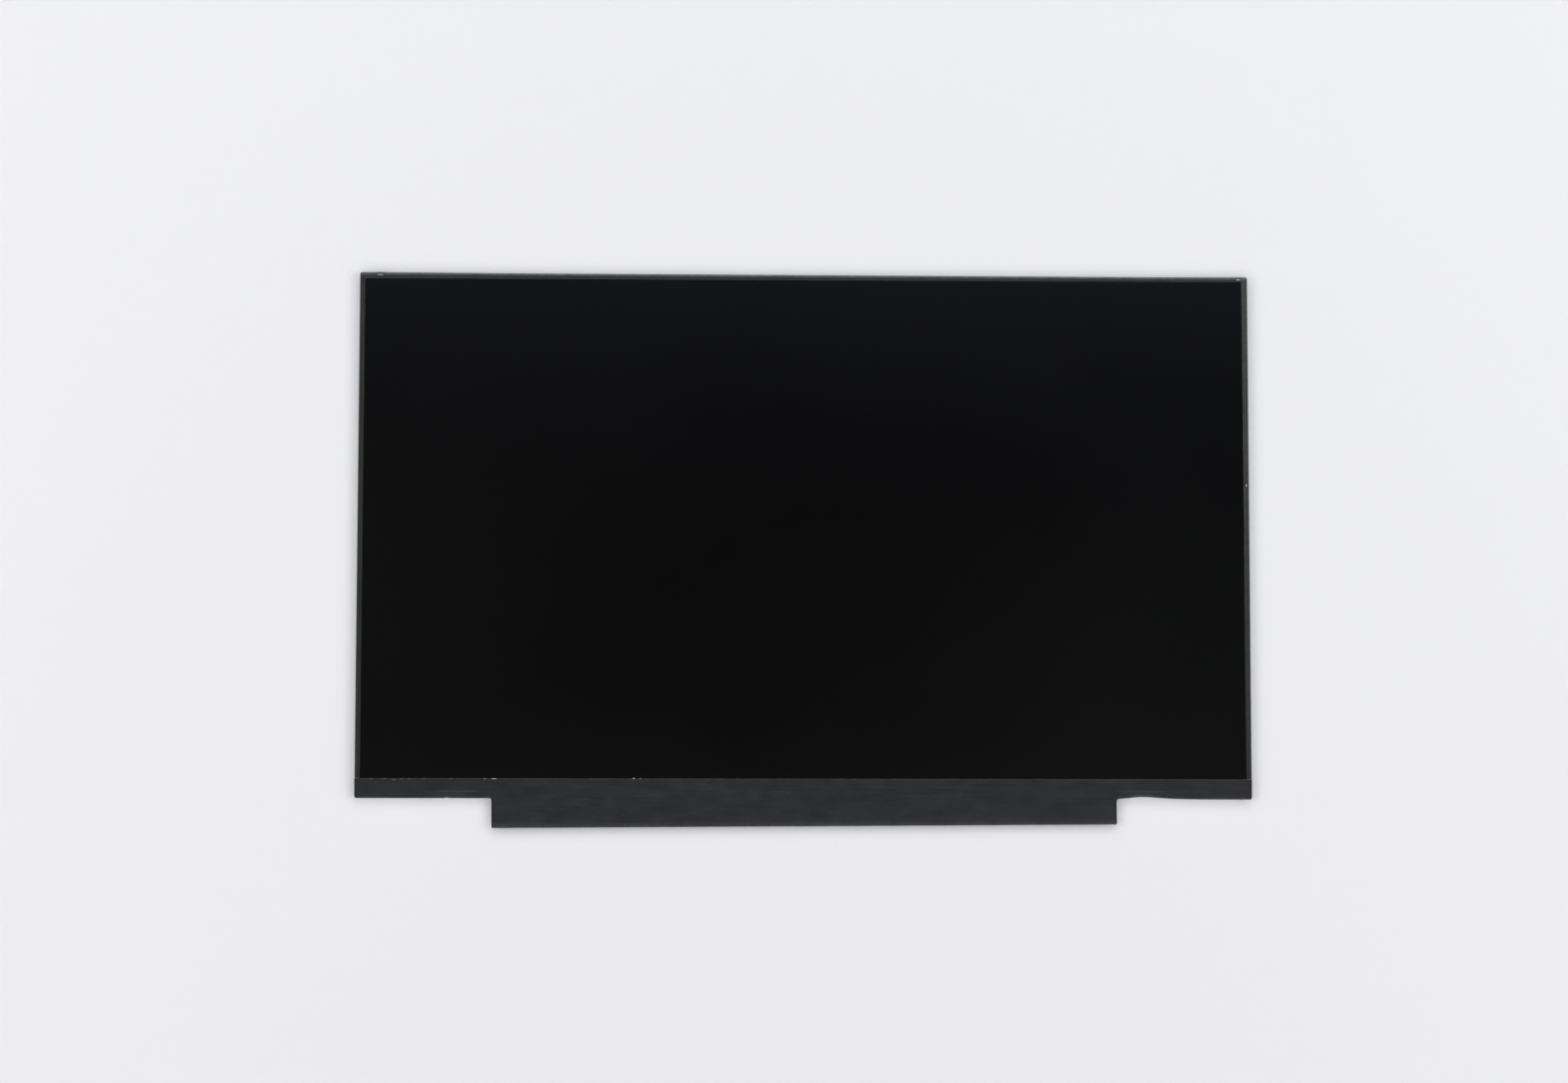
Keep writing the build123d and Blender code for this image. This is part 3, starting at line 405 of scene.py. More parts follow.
def boardFinish(look):
    finish, tree, shader = startFinish("boardGreen", 0.3)
    links = {"Vector": spot(tree, (1, 2.2, 0))}
    cells = addNode(tree, "TexVoronoi", {"Scale": look["cells"]}, links, distance="CHEBYCHEV")
    pours = spread(tree, cells.outputs["Color"], 0, 1, 0.45, 0.46)
    weave = addNode(tree, "TexVoronoi", {"Scale": look["weave"]}, {"Vector": spot(tree)})
    weaveFade = spread(tree, weave.outputs["Distance"], 0.0, 0.35, 0.1, 0.7)
    colour = overlay(tree, pours, look["mask"], look["pour"])
    colour = overlay(tree, weaveFade, colour, look["pour"])
    paint(tree, shader, colour, spread(tree, grain(tree, 420), 0.24, 0.38))
    rough(tree, shader, pours, 0.25, 0.00003)
    return finish


finishes = {name: plainFinish(name, *look) for name, look in plainLooks.items()}
finishes["screenFilm"] = screenFinish(screenFilm)
finishes["coverTape"] = coverTapeFinish(coverTapeLook)
finishes.update({name: edgeTapeFinish(name, look, edgeTapeFilm) for name, look in edgeTapeLooks.items()})
finishes["amberFlex"] = amberFlexFinish(amberFlexLook)
finishes["boardGreen"] = boardFinish(boardLook)
slotFinish = {"black_tape": "coverTape"}  # the other slots use the finish of the same name


def dressNodes():
    for entry in frame["record"]["subparts"]:
        words = entry["material_slot"].split("_")
        sameName = words[0] + "".join(w.capitalize() for w in words[1:])
        finish = finishes[slotFinish.get(entry["material_slot"], sameName)]
        mesh = nodes[entry["node"]].data
        mesh.materials.clear()
        mesh.materials.append(finish)


dressNodes()
print("solids dressed in", len(finishes), "finishes")


# building helpers: lengths below are in millimetres and turn to metres in the mesh
def addPiece(name, points, faces, finishNames, replaced=(), faceFinish=None, smooth=True, wear=None):
    mesh = bpy.data.meshes.new(name)
    mesh.from_pydata([(x * mm, y * mm, z * mm) for x, y, z in points], [], faces)
    mesh.polygons.foreach_set("use_smooth", [smooth] * len(mesh.polygons))
    for finishName in finishNames:
        mesh.materials.append(finishes[finishName])
    if faceFinish:
        mesh.polygons.foreach_set("material_index", faceFinish)
    if wear:
        mesh.attributes.new("wear", "FLOAT", "POINT").data.foreach_set("value", wear)
    mesh.update()
    piece = bpy.data.objects.new(name, mesh)
    scene.collection.objects.link(piece)
    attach(piece, "root")
    if replaced:
        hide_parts(*replaced)
    return piece


def thicken(piece, thickness):  # inwards from the outer face, with the cut edge in the second finish
    solid = piece.modifiers.new("thickness", "SOLIDIFY")
    solid.thickness = thickness * mm
    solid.offset = -1.0
    solid.use_even_offset = True
    solid.material_offset_rim = 1


def smoothStep(start, end, value):
    t = min(1.0, max(0.0, (value - start) / (end - start)))
    return t * t * (3 - 2 * t)


def bump(value, middle, spread):  # 1 in the middle, falling off to both sides
    return math.exp(-(((value - middle) / spread) ** 2))


def fade(distance, reach):  # 1 at an edge, falling off inwards
    return math.exp(-max(0.0, distance) / reach)


def ripple(x, y, seed=0.0):  # 0 to 1
    return 0.5 + 0.5 * noise.noise(Vector((x, y, seed)))


def waver(line, along):  # of a cut line: height, pitch and seed
    height, pitch, seed = line
    return height * ripple(along * pitch, seed)


def steps(start, end, pitch):
    count = max(1, round(abs(end - start) / pitch))
    return [start + (end - start) * i / count for i in range(count)]


# cover tape: a strip along the lower edge and a tongue over the board, laid by hand
coverTape = {
    "halfWidth": 157.98, "high": -85.90, "low": -92.85, "foot": 0.10, "bend": 0.16, "thickness": 0.07,
    "glassEdge": -87.7, "filmEdge": -90.2, "topOnGlass": 2.19, "topOnFilm": 1.95, "cornerCut": 0.5,
    # middle, depth, and spread to the left and right
    "bite": (118.8, 0.70, 5.0, 7.7), "nick": (-125.7, 0.24, 0.6, 0.6),
    "hang": (128.0, 142.0, 0.18),  # right end of the strip sits a little lower
    "tongueHalf": 110.0, "boardTop": -93.85, "drop": 8.72, "skew": 0.38, "root": 0.8, "corner": 0.5,
    "films": (-82.275, -27.425, 27.425, 82.275), "filmHalf": 17.0, "filmLap": 1.2,
    "boardStep": 0.04, "gapDip": 0.06, "gapHalf": 0.42,  # sinks onto the board and into the gap above it
    # height, pitch and seed of the waver in each cut line
    "highWaver": (0.06, 0.45, 7.0), "lowWaver": (0.05, 0.35, 3.0), "tongueWaver": (0.03, 0.25, 4.0),
    "curl": (0.06, 0.16),  # height and reach of the curled upper edge
    # share, pitch along and across, and seed of the wrinkles
    "wrinkle": 0.03, "wrinkles": [(0.5, 0.22, 0.5, 1.0), (0.35, 0.6, 1.1, 5.0), (0.15, 1.7, 2.3, 8.0)],
    # start, end, height and half width of each crease
    "creases": [
        ((-131.2, -90.46), (-113.4, -90.42), 0.13, 0.30),
        ((-131.0, -91.35), (-116.0, -91.5), 0.06, 0.3),
        ((109.5, -90.32), (127.0, -90.25), 0.11, 0.38),
        ((113.0, -91.45), (126.5, -91.75), 0.09, 0.26),
        ((143.5, -92.3), (153.2, -92.32), -0.10, 0.18),
        ((-30.0, -89.6), (-12.0, -91.4), 0.012, 0.5),
        ((-4.0, -95.2), (6.0, -96.8), 0.015, 0.4),
    ],
    # the last value paints a highlight along each raised crease ridge, scaled by its height
    "creaseWander": 0.12, "creaseFade": 0.18, "creaseWear": 3.0,
    # place along X, spread, height and reach of each stretch of edge that has come up
    "lifts": [
        (119.5, 5.2, 0.16, 0.9), (-124.5, 6.0, 0.07, 0.8),
        (146.5, 4.0, 0.09, 0.5), (-112.0, 1.6, 0.06, 0.7),
    ],
    "liftWear": 0.35, "foldWear": 0.25,
    # the first pair paints a highlight along the upper edge; the next two make the lower cut edges paler
    "highWear": (0.30, 0.10), "lowWear": (0.45, 0.22), "tongueWear": (0.5, 1.0),  # amount and reach, by edge
    "pressed": (154.5, 1.6, -92.3, 0.04),  # under the folded lug
    # columns: pitch on the tongue, close to its sides, and along the strip
    "pitch": 0.7, "nearTongue": 1.2, "slit": 0.03, "finePitch": 0.1,
    "creased": (134.0, 0.25), "plain": (3.0, 0.4), "endPitch": 0.15,
    "flapRows": (0.15, 0.35, 0.6, 0.8, 1.0), "bendSteps": 4,
    "upperRows": (0, 0.04, 0.1, 0.2, 0.35, 0.6, 1.0, 1.5, 1.9, 2.3, 2.7, 3.1),  # down from the upper edge
    "lowerRows": 21, "tongueRows": 18,
}


def tapeLowEdge(tape, x):
    reach = abs(x) - tape["tongueHalf"]
    root = tape["root"]
    if reach <= 0:
        return tape["low"] - root
    low = tape["low"] + waver(tape["lowWaver"], x)
    if reach < root:
        low = tape["low"] - root + math.sqrt(max(0.0, root * root - (root - reach) ** 2))
    for middle, depth, left, right in (tape["bite"], tape["nick"]):
        low += depth * bump(x, middle, left if x < middle else right) * smoothStep(0.0, root, reach)
    start, end, hang = tape["hang"]
    low -= hang * smoothStep(start, end, x)
    cut = abs(x) - (tape["halfWidth"] - tape["cornerCut"])
    return low + max(0.0, cut)


def overLayers(tape, x, y, boardTop):  # height over glass, films, gap and board
    drop = tape["topOnGlass"] - tape["topOnFilm"]
    z = tape["topOnGlass"] - drop * smoothStep(tape["glassEdge"], tape["filmEdge"], y)
    half, filmEnd = tape["filmHalf"], boardTop - tape["filmLap"]
    overFilm = max(smoothStep(half + 0.5, half - 0.3, abs(x - p)) for p in tape["films"])
    overBoard = smoothStep(boardTop, boardTop - 0.4, y)
    pastFilm = smoothStep(filmEnd, filmEnd - 0.5, y)
    z -= tape["boardStep"] * overBoard * max(pastFilm, 1 - overFilm)
    if abs(x) < tape["tongueHalf"]:
        z -= tape["gapDip"] * (1 - overFilm) * bump(y, (tape["low"] + boardTop) / 2, tape["gapHalf"])
    return z


def tapeShape(tape, x, y, low):  # height of the outer face, and how much wear and painted highlight it carries there
    boardTop = tape["boardTop"] + x * math.tan(math.radians(tape["skew"]))
    z = overLayers(tape, x, y, boardTop)
    height, reach = tape["curl"]
    z += height * math.exp((y - tape["high"]) / reach) * (0.4 + 0.6 * ripple(x * 0.8, 9.0))
    # painted highlight along the upper edge of the tape, fading within a few tenths of a millimetre
    amount, reach = tape["highWear"]
    wear = amount * math.exp((y - tape["high"]) / reach)
    z += tape["wrinkle"] * sum(share * ripple(x * a, y * b, seed) for share, a, b, seed in tape["wrinkles"])
    for (x0, y0), (x1, y1), height, half in tape["creases"]:
        run = Vector((x1 - x0, y1 - y0))
        t = (Vector((x - x0, y - y0)).dot(run)) / run.length_squared
        if -0.05 < t < 1.05:
            across = (y - (y0 + (y1 - y0) * t)) + tape["creaseWander"] * (ripple(x * 0.5, y0, 2.0) - 0.5)
            ends = max(0.0, min(1.0, t / tape["creaseFade"], (1 - t) / tape["creaseFade"]))
            z += height * ends * bump(across, 0.0, half)
            # painted highlight along the ridge of each raised crease
            wear += tape["creaseWear"] * max(0.0, height) * ends * bump(across, 0.0, 0.5 * half)
    for middle, width, height, reach in tape["lifts"]:
        up = bump(x, middle, width) * fade(y - low, reach)
        z += height * up
        wear += tape["liftWear"] * up
    middle, width, start, depth = tape["pressed"]
    z -= depth * smoothStep(width, width * 0.7, abs(x - middle)) * smoothStep(start + 0.3, start, y)
    # paler towards the lower cut edge of the strip, and of the tongue below
    amount, reach = tape["lowWear"]
    wear += amount * fade(y - low, reach)
    if abs(x) < tape["tongueHalf"]:
        amount, reach = tape["tongueWear"]
        wear += amount * fade(y - boardTop + tape["drop"], reach)
    return z, min(1.0, wear)


def tapeColumns(tape):  # place along X, turn round the end and share of the way down the side
    width, tongue, near, fine = tape["halfWidth"], tape["tongueHalf"], tape["nearTongue"], tape["finePitch"]
    (creasedEnd, creasedPitch), (plainEnd, plainPitch) = tape["creased"], tape["plain"]
    runs = [
        (0, tape["pitch"]), (tongue - near, fine), (tongue - tape["slit"], fine), (tongue, fine),
        (tongue + near, creasedPitch), (creasedEnd, plainPitch), (width - plainEnd, tape["endPitch"]),
        (width - tape["bend"], None),
    ]
    columns = [(x, 0.0, 0.0) for (a, pitch), (b, after) in zip(runs, runs[1:]) for x in steps(a, b, pitch)]
    turns = tape["bendSteps"]
    columns += [(width, math.pi / 2 * i / turns, 0.0) for i in range(turns + 1)]
    columns += [(width, 0.0, f) for f in tape["flapRows"]]
    return [(-x, a, f) for x, a, f in reversed(columns[1:])] + columns


def buildCoverTape(tape):
    width, bend, tongue, corner = tape["halfWidth"], tape["bend"], tape["tongueHalf"], tape["corner"]
    lowerRows = [i / tape["lowerRows"] for i in range(1, tape["lowerRows"])] + [0.985, 1.0]
    tongueRows = [i / tape["tongueRows"] for i in range(1, tape["tongueRows"])] + [0.985, 0.996, 1.0]
    c, s = math.cos(math.radians(tape["skew"])), math.sin(math.radians(tape["skew"]))
    points, worn, index = [], [], {}
    for j, (x, turn, drop) in enumerate(tapeColumns(tape)):
        low = tapeLowEdge(tape, x)
        high = tape["high"] - waver(tape["highWaver"], x)
        rows = [high - d for d in tape["upperRows"]]
        rows += [rows[-1] + (low - rows[-1]) * f for f in lowerRows]
        spots = [(x, y) for y in rows]
        if abs(x) <= tongue:
            bottom = -tape["drop"]
            gap = tongue - abs(x)
            if gap < corner:
                bottom += corner - math.sqrt(corner ** 2 - (corner - gap) ** 2)
            bottom += waver(tape["tongueWaver"], x)
            endX, endY = x * c - bottom * s, tape["boardTop"] + x * s + bottom * c
            spots += [(x + (endX - x) * f, low + (endY - low) * f) for f in tongueRows]
        side = 1 if x > 0 else -1
        for i, (px, py) in enumerate(spots):
            z, wear = tapeShape(tape, px, py, low if abs(x) > tongue else -200.0)
            if drop:
                px, z = side * width, (z - bend) * (1 - drop) + tape["foot"] * drop
            elif turn or abs(x) >= width:
                px, z = side * (width - bend + bend * math.sin(turn)), z - bend * (1 - math.cos(turn))
                wear = min(1.0, wear + tape["foldWear"])
            index[i, j] = len(points)
            points.append((px, py, z))
            worn.append(wear)
    faces = []
    for (i, j), a in index.items():
        corners = [index.get(k) for k in ((i + 1, j), (i + 1, j + 1), (i, j + 1))]
        if None not in corners:
            faces.append((a, *corners))
    tapeFinishes, solids = ["coverTape", "tapeEdge"], ["lower_cover_tape"]
    piece = addPiece("cover_tape_laid", points, faces, tapeFinishes, solids, wear=worn)
    thicken(piece, tape["thickness"])


# edge tapes: folded from the front over the side to the rear, not quite straight
edgeTapes = {
    "left_edge_tape": {
        "side": "left", "finish": "sideTape", "wave": 0.10, "seed": 1.0, "taper": (0.0, 0.0),
        "radius": 0.26, "pale": (0.0, 0.02), "paleRim": 0.0,
    },
    # the pale pair paints a highlight along a side tape, from its lower end to its upper end, strongest towards the
    # upper end of the right tape
    "right_edge_tape": {
        "side": "right", "finish": "sideTape", "wave": 0.14, "seed": 4.0, "taper": (0.5, 0.0),
        "radius": 0.26, "pale": (0.02, 0.26), "paleRim": 0.0,
    },
    "top_edge_tape": {
        "side": "top", "finish": "topTape", "wave": 0.08, "seed": 7.0, "taper": (0.0, 0.6),
        # on the top tape, a painted highlight makes the outer band next to its bend paler
        "pale": (0.0, 0.0), "paleRim": 0.75,
        "bevel": (0.55, 0.30), "bevelRadius": 0.12, "narrowRadius": 0.03,
        "notch": (-156.01, 155.71, 0.58), "corner": 0.5,  # cut back over the side tapes, and rounded corners
        # place along X, spread and height of each stretch that stands off the edge
        "bulges": [(-158.0, 34.0, 0.13), (158.0, 22.0, 0.15), (-150.7, 1.6, 0.10)],
        # middle along the tape and in from its outer edge, and half lengths, of the spots that are torn away
        "torn": [((154.7, 0.80), (0.78, 0.21)), ((-150.7, 0.80), (1.02, 0.16))],
    },
}
edgeTapeSection = {
    "front": 2.19, "rear": 0.03, "rearRadius": 0.17, "rearFlap": 1.5, "thickness": 0.07, "puff": 0.03,
    "pitch": 0.6, "finePitch": 0.05,
    "plainRuns": (24, 3, 2), "plainTurns": 6, "bevelRuns": (24, 10, 3, 2), "bevelTurns": 3,
    # rows counted from the inner edge
    "foldRow": 26, "foldRows": 3.0, "foldWear": 0.25, "puffRows": 27, "frontRows": 40, "cutWear": (0.2, 1.6),
}


def foldLine(corners, radii, runs, turns):  # straight runs with each inner corner rounded
    spots = [Vector(c) for c in corners]
    line, start = [], spots[0]
    for k, radius in enumerate(radii, 1):
        back, ahead = (spots[k - 1] - spots[k]).normalized(), (spots[k + 1] - spots[k]).normalized()
        half = back.angle(ahead) / 2
        first, last = spots[k] + back * radius / math.tan(half), spots[k] + ahead * radius / math.tan(half)
        middle = spots[k] + (back + ahead).normalized() * radius / math.sin(half)
        line += [start.lerp(first, i / runs[k - 1]) for i in range(runs[k - 1])]
        a, b = (math.atan2(v.y, v.x) for v in (first - middle, last - middle))
        b = a + (b - a + math.pi) % (2 * math.pi) - math.pi
        for i in range(turns):
            t = a + (b - a) * i / turns
            line.append(middle + Vector((math.cos(t), math.sin(t))) * radius)
        start = last
    return line + [start.lerp(spots[-1], i / runs[-1]) for i in range(runs[-1] + 1)]


def tapePlaces(tape, section, start, end):  # places along the tape, close together where it is torn or cut
    marks = [start, end]
    close = [(a - half - 0.5, min(a + half + 0.5, end)) for (a, deep), (half, tall) in tape.get("torn", [])]
    if "corner" in tape:
        close += [(start, start + tape["corner"]), (end - tape["corner"], end)]
    marks += [mark for pair in close for mark in pair if start < mark < end]
    if "notch" in tape:
        left, right, depth = tape["notch"]
        marks += [left - 0.01, left, right, right + 0.01]
    marks.sort()
    along = []
    for a, b in zip(marks, marks[1:]):
        fine = any(f0 <= (a + b) / 2 <= f1 for f0, f1 in close)
        along += steps(a, b, section["finePitch"] if fine else section["pitch"])
    return along + [end]


def tapeRow(tape, section, inner, outer, start, end, a):  # section of the tape at one place along it
    share, seed = (a - start) / (end - start), tape["seed"]
    front, rear = section["front"], section["rear"]
    wave = tape["wave"] * (ripple(a * 0.11, 1.0, seed) - 0.5)
    wave += 0.4 * tape["wave"] * (ripple(a * 0.7, 2.0, seed) - 0.5)
    stand = sum(height * bump(a, place, width) for place, width, height in tape.get("bulges", []))
    rim = outer + stand
    edge = inner + tape["taper"][0] * (1 - share) + tape["taper"][1] * share + wave
    corner, fromEnd = tape.get("corner", 0.0), min(a - start, end - a)
    if fromEnd < corner:
        rim -= corner - math.sqrt(max(0.0, corner ** 2 - (corner - fromEnd) ** 2))
    if "notch" in tape and not tape["notch"][0] <= a <= tape["notch"][1]:
        edge = outer - tape["notch"][2]
    rearCorners = [(rim, rear), (rim - section["rearFlap"] - wave * 0.5, rear)]
    if "bevel" in tape:
        run, fall = tape["bevel"]
        top = max(min(rim - run, rim - 0.02) - stand * 0.5, edge + 0.02)
        first = tape["narrowRadius"] if edge > inner + 1 else tape["bevelRadius"]
        radii = (first, tape["bevelRadius"], section["rearRadius"])
        corners = [(edge, front), (top, front), (rim, front - fall), *rearCorners]
        line = foldLine(corners, radii, section["bevelRuns"], section["bevelTurns"])
    else:
        radii = (tape["radius"], section["rearRadius"])
        corners = [(edge, front), (rim, front), *rearCorners]
        line = foldLine(corners, radii, section["plainRuns"], section["plainTurns"])
    puffed = []
    for i, spotOn in enumerate(line):
        t = min(1.0, i / section["puffRows"])
        lift = section["puff"] * ripple(a * 0.3, t * 2, seed + 1) * math.sin(math.pi * t) ** 0.7
        puffed.append((spotOn.x, spotOn.y + lift))
    return puffed


# wear of the edge tape at each row, with its painted highlights added
def tapeWearAndHighlight(tape, section, outer, share, a, row):
    # painted highlight along the tape from its pale pair, most on the right tape's upper part
    pale = tape["pale"][0] * (1 - share) + tape["pale"][1] * share
    seed, torn = tape["seed"], tape.get("torn", [])
    # painted highlight: the outer band of the top tape is made paler, where its bend would catch light from above
    paintedRimHighlight = tape["paleRim"] * (0.6 + 0.5 * ripple(a * 0.08, 2.0, seed)) * (1 - 0.2 * (2 * share - 1) ** 2)
    paintedRimHighlight *= 1 - 0.9 * max([bump(a, middle, 1.8) for (middle, deep), halves in torn], default=0)
    crease = section["foldWear"] * ripple(a * 0.25, 5.0, seed)
    amount, reach = section["cutWear"]
    worn = []
    for i, (o, z) in enumerate(row):
        fold = bump(i, section["foldRow"], section["foldRows"]) * crease
        # the painted highlight of the outer band fades out between 0.5 and 1.05 mm in from the outer edge
        rub = paintedRimHighlight * smoothStep(1.05, 0.5, outer - o)
        worn.append(min(1.0, amount * math.exp(-i / reach) + fold + rub + pale))
    return worn


def tornCells(tape, section, cells, along, rows, outer):
    gone = set()
    for (a, deep), (half, tall) in tape.get("torn", []):
        for j, i in cells:
            middle = (along[j] + along[j + 1]) / 2
            out = outer - (rows[j][i][0] + rows[j][i + 1][0]) / 2
            ragged = 0.7 + 0.6 * ripple(middle * 2.4, out * 3.0, tape["seed"])
            if i < section["frontRows"] and ((middle - a) / half) ** 2 + ((out - deep) / tall) ** 2 < ragged:
                gone.add((j, i))
    grown = True
    while grown:  # no two torn cells touch only at a corner
        grown = set()
        for j, i in gone:
            for k in (i - 1, i + 1):
                if (j + 1, k) in gone and not {(j + 1, i), (j, k)} & gone:
                    grown.add((j + 1, i))
        gone |= grown
    return gone


def buildEdgeTape(name, tape, section):
    low, high = (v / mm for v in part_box(name))
    side = tape["side"]
    if side == "top":
        inner, outer, start, end = low.y, high.y, low.x, high.x
    else:
        start, end = low.y, high.y
        inner, outer = (low.x, high.x) if side == "right" else (-high.x, -low.x)
    along = tapePlaces(tape, section, start, end)
    rows = [tapeRow(tape, section, inner, outer, start, end, a) for a in along]
    points, worn = [], []
    for a, row in zip(along, rows):
        worn += tapeWearAndHighlight(tape, section, outer, (a - start) / (end - start), a, row)
        if side == "top":
            points += [(a, o, z) for o, z in row]
        else:
            points += [(o if side == "right" else -o, a, z) for o, z in row]
    count = len(rows[0])
    cells = [(j, i) for j in range(len(along) - 1) for i in range(count - 1)]
    gone = tornCells(tape, section, cells, along, rows, outer)
    faces = []
    for j, i in cells:
        if (j, i) not in gone:
            quad = [j * count + i, j * count + i + 1, (j + 1) * count + i + 1, (j + 1) * count + i]
            faces.append(tuple(quad if side == "right" else reversed(quad)))
    tapeFinishes = [tape["finish"], "tapeEdge"]
    piece = addPiece(name + "_laid", points, faces, tapeFinishes, [name], wear=worn)
    thicken(piece, section["thickness"])


buildCoverTape(coverTape)
for tapeName, edgeTape in edgeTapes.items():
    buildEdgeTape(tapeName, edgeTape, edgeTapeSection)
print("tapes laid")

# flakes of dried adhesive along the join of screen and tape: middle, length, width, height of its top
flakes = {
    "paleFlake": [
        (-109.1, -86.04, 2.0, 0.22, 2.29), (-112.4, -86.03, 0.6, 0.18, 2.28), (-60.1, -85.84, 1.1, 0.22, 2.33),
        (-57.9, -85.88, 0.6, 0.16, 2.33), (157.0, 18.3, 0.35, 0.8, 2.25),
    ],
    "strawFlake": [
        (-151.9, -86.03, 1.4, 0.18, 2.28), (-147.4, -86.09, 0.8, 0.24, 2.28), (-144.2, -86.45, 1.6, 0.2, 2.24),
        (-141.5, -86.2, 1.2, 0.16, 2.25), (-138.9, -86.05, 0.9, 0.16, 2.28), (-133.6, -86.0, 0.5, 0.24, 2.28),
        (-124.2, -86.03, 0.8, 0.14, 2.28), (-119.6, -86.03, 0.5, 0.14, 2.28),
    ],
}
flakeForm = {"sides": 9, "height": 0.05, "dip": 0.012, "crown": 0.8}


def buildFlakes(flakes, form):
    dice = random.Random(14)
    sides, high = form["sides"], form["height"]
    points, faces, faceFinish = [], [], []
    for kind, rows in enumerate(flakes.values()):
        for x, y, length, width, top in rows:
            first = len(points)
            turns = [2 * math.pi * (k + 0.6 * dice.random()) / sides for k in range(sides)]
            rim = []
            for a in turns:
                across = length / 2 * math.cos(a) * (0.7 + 0.4 * dice.random())
                rim.append((x + across, y + width / 2 * math.sin(a) * (0.7 + 0.4 * dice.random())))
            points += [(px, py, top - high) for px, py in rim]
            for px, py in rim:
                dip = form["dip"] * dice.random()
                points.append((x + (px - x) * form["crown"], y + (py - y) * form["crown"], top - dip))
            points += [(x, y, top), (x, y, top - high)]
            crown, base = first + 2 * sides, first + 2 * sides + 1
            for k in range(sides):
                n = (k + 1) % sides
                faces.append((first + k, first + n, first + sides + n, first + sides + k))
                faces.append((first + sides + k, first + sides + n, crown))
                faces.append((first + n, first + k, base))
                faceFinish += [kind] * 3
    addPiece("adhesive_flakes", points, faces, list(flakes), faceFinish=faceFinish)


buildFlakes(flakes, flakeForm)
print("flakes added")

# rear of the board: u runs along it, v down from its upper edge, w out from its rear face
boardRear = {"top": -93.85, "face": 1.32, "skew": 0.38}
skewCos, skewSin = math.cos(math.radians(boardRear["skew"])), math.sin(math.radians(boardRear["skew"]))


def onBoard(u, v, w):
    return (u * skewCos + v * skewSin, boardRear["top"] + u * skewSin - v * skewCos, boardRear["face"] - w)


def offBoard(x, y, z):
    y -= boardRear["top"]
    return (x * skewCos + y * skewSin, x * skewSin - y * skewCos, boardRear["face"] - z)


def newBag():
    return {"points": [], "faces": [], "finish": []}


def intoBag(bag, points, faces, kind):
    first = len(bag["points"])
    bag["points"] += points
    bag["faces"] += [tuple(first + k for k in face) for face in faces]
    bag["finish"] += [kind] * len(faces)


def bagPiece(name, bag, finishNames, replaced=()):
    points, faces, faceFinish = bag["points"], bag["faces"], bag["finish"]
    addPiece(name, points, faces, finishNames, replaced, faceFinish, smooth=False)


def addBlock(bag, middle, size, kind, ease=0.0, base=0.0):  # box on the board, top edge eased
    (u, v), (width, depth, height) = middle, size
    rings = [(0.0, base), (0.0, height - ease), (ease, height)] if ease else [(0.0, base), (0.0, height)]
    points = []
    for inset, w in rings:
        a, b = width / 2 - inset, depth / 2 - inset
        points += [onBoard(u + i * a, v + j * b, w) for i, j in ((-1, -1), (1, -1), (1, 1), (-1, 1))]
    faces = [(3, 2, 1, 0)]
    for r in range(0, 4 * (len(rings) - 1), 4):
        faces += [(r + k, r + (k + 1) % 4, r + 4 + (k + 1) % 4, r + 4 + k) for k in range(4)]
    last = 4 * (len(rings) - 1)
    faces.append((last, last + 1, last + 2, last + 3))
    intoBag(bag, points, faces, kind)


def addDisc(bag, middle, radius, height, kind, dome=0.0, sides=14):  # round pad or drop of solder
    u, v = middle
    rings = [(1.0, 0.0), (1.0, height)]
    if dome:
        rings += [(0.75, height + 0.6 * dome), (0.4, height + 0.92 * dome)]
    points = []
    for share, w in rings:
        for k in range(sides):
            a = 2 * math.pi * k / sides
            points.append(onBoard(u + radius * share * math.cos(a), v + radius * share * math.sin(a), w))
    points += [onBoard(u, v, 0.0), onBoard(u, v, height + dome)]
    base, crown = len(points) - 2, len(points) - 1
    last = (len(rings) - 1) * sides
    faces = []
    for k in range(sides):
        n = (k + 1) % sides
        faces.append((n, k, base))
        for r in range(0, last, sides):
            faces.append((r + k, r + n, r + sides + n, r + sides + k))
        faces.append((last + k, last + n, crown))
    intoBag(bag, points, faces, kind)


def addStrip(bag, line, width, height, kind):  # flat run of copper or print
    spots = [Vector(p) for p in line]
    points = []
    for i, p in enumerate(spots):
        ahead = (spots[min(i + 1, len(spots) - 1)] - spots[max(i - 1, 0)]).normalized()
        across = Vector((-ahead.y, ahead.x)) * width / 2
        for q, w in ((p - across, 0.0), (p + across, 0.0), (p + across, height), (p - across, height)):
            points.append(onBoard(q.x, q.y, w))
    faces = [(0, 3, 2, 1)]
    for i in range(len(spots) - 1):
        r, q = 4 * i, 4 * i + 4
        faces += [(r, r + 1, q + 1, q), (r + 3, q + 3, q + 2, r + 2)]
        faces += [(r + 1, r + 2, q + 2, q + 1), (r, q, q + 3, r + 3)]
    end = 4 * (len(spots) - 1)
    faces.append((end, end + 1, end + 2, end + 3))
    intoBag(bag, points, faces, kind)


hollow = [(0.75, 0.12), (0.4, 0.38)]  # shares of the reach and height of a drawn-in wedge of solder


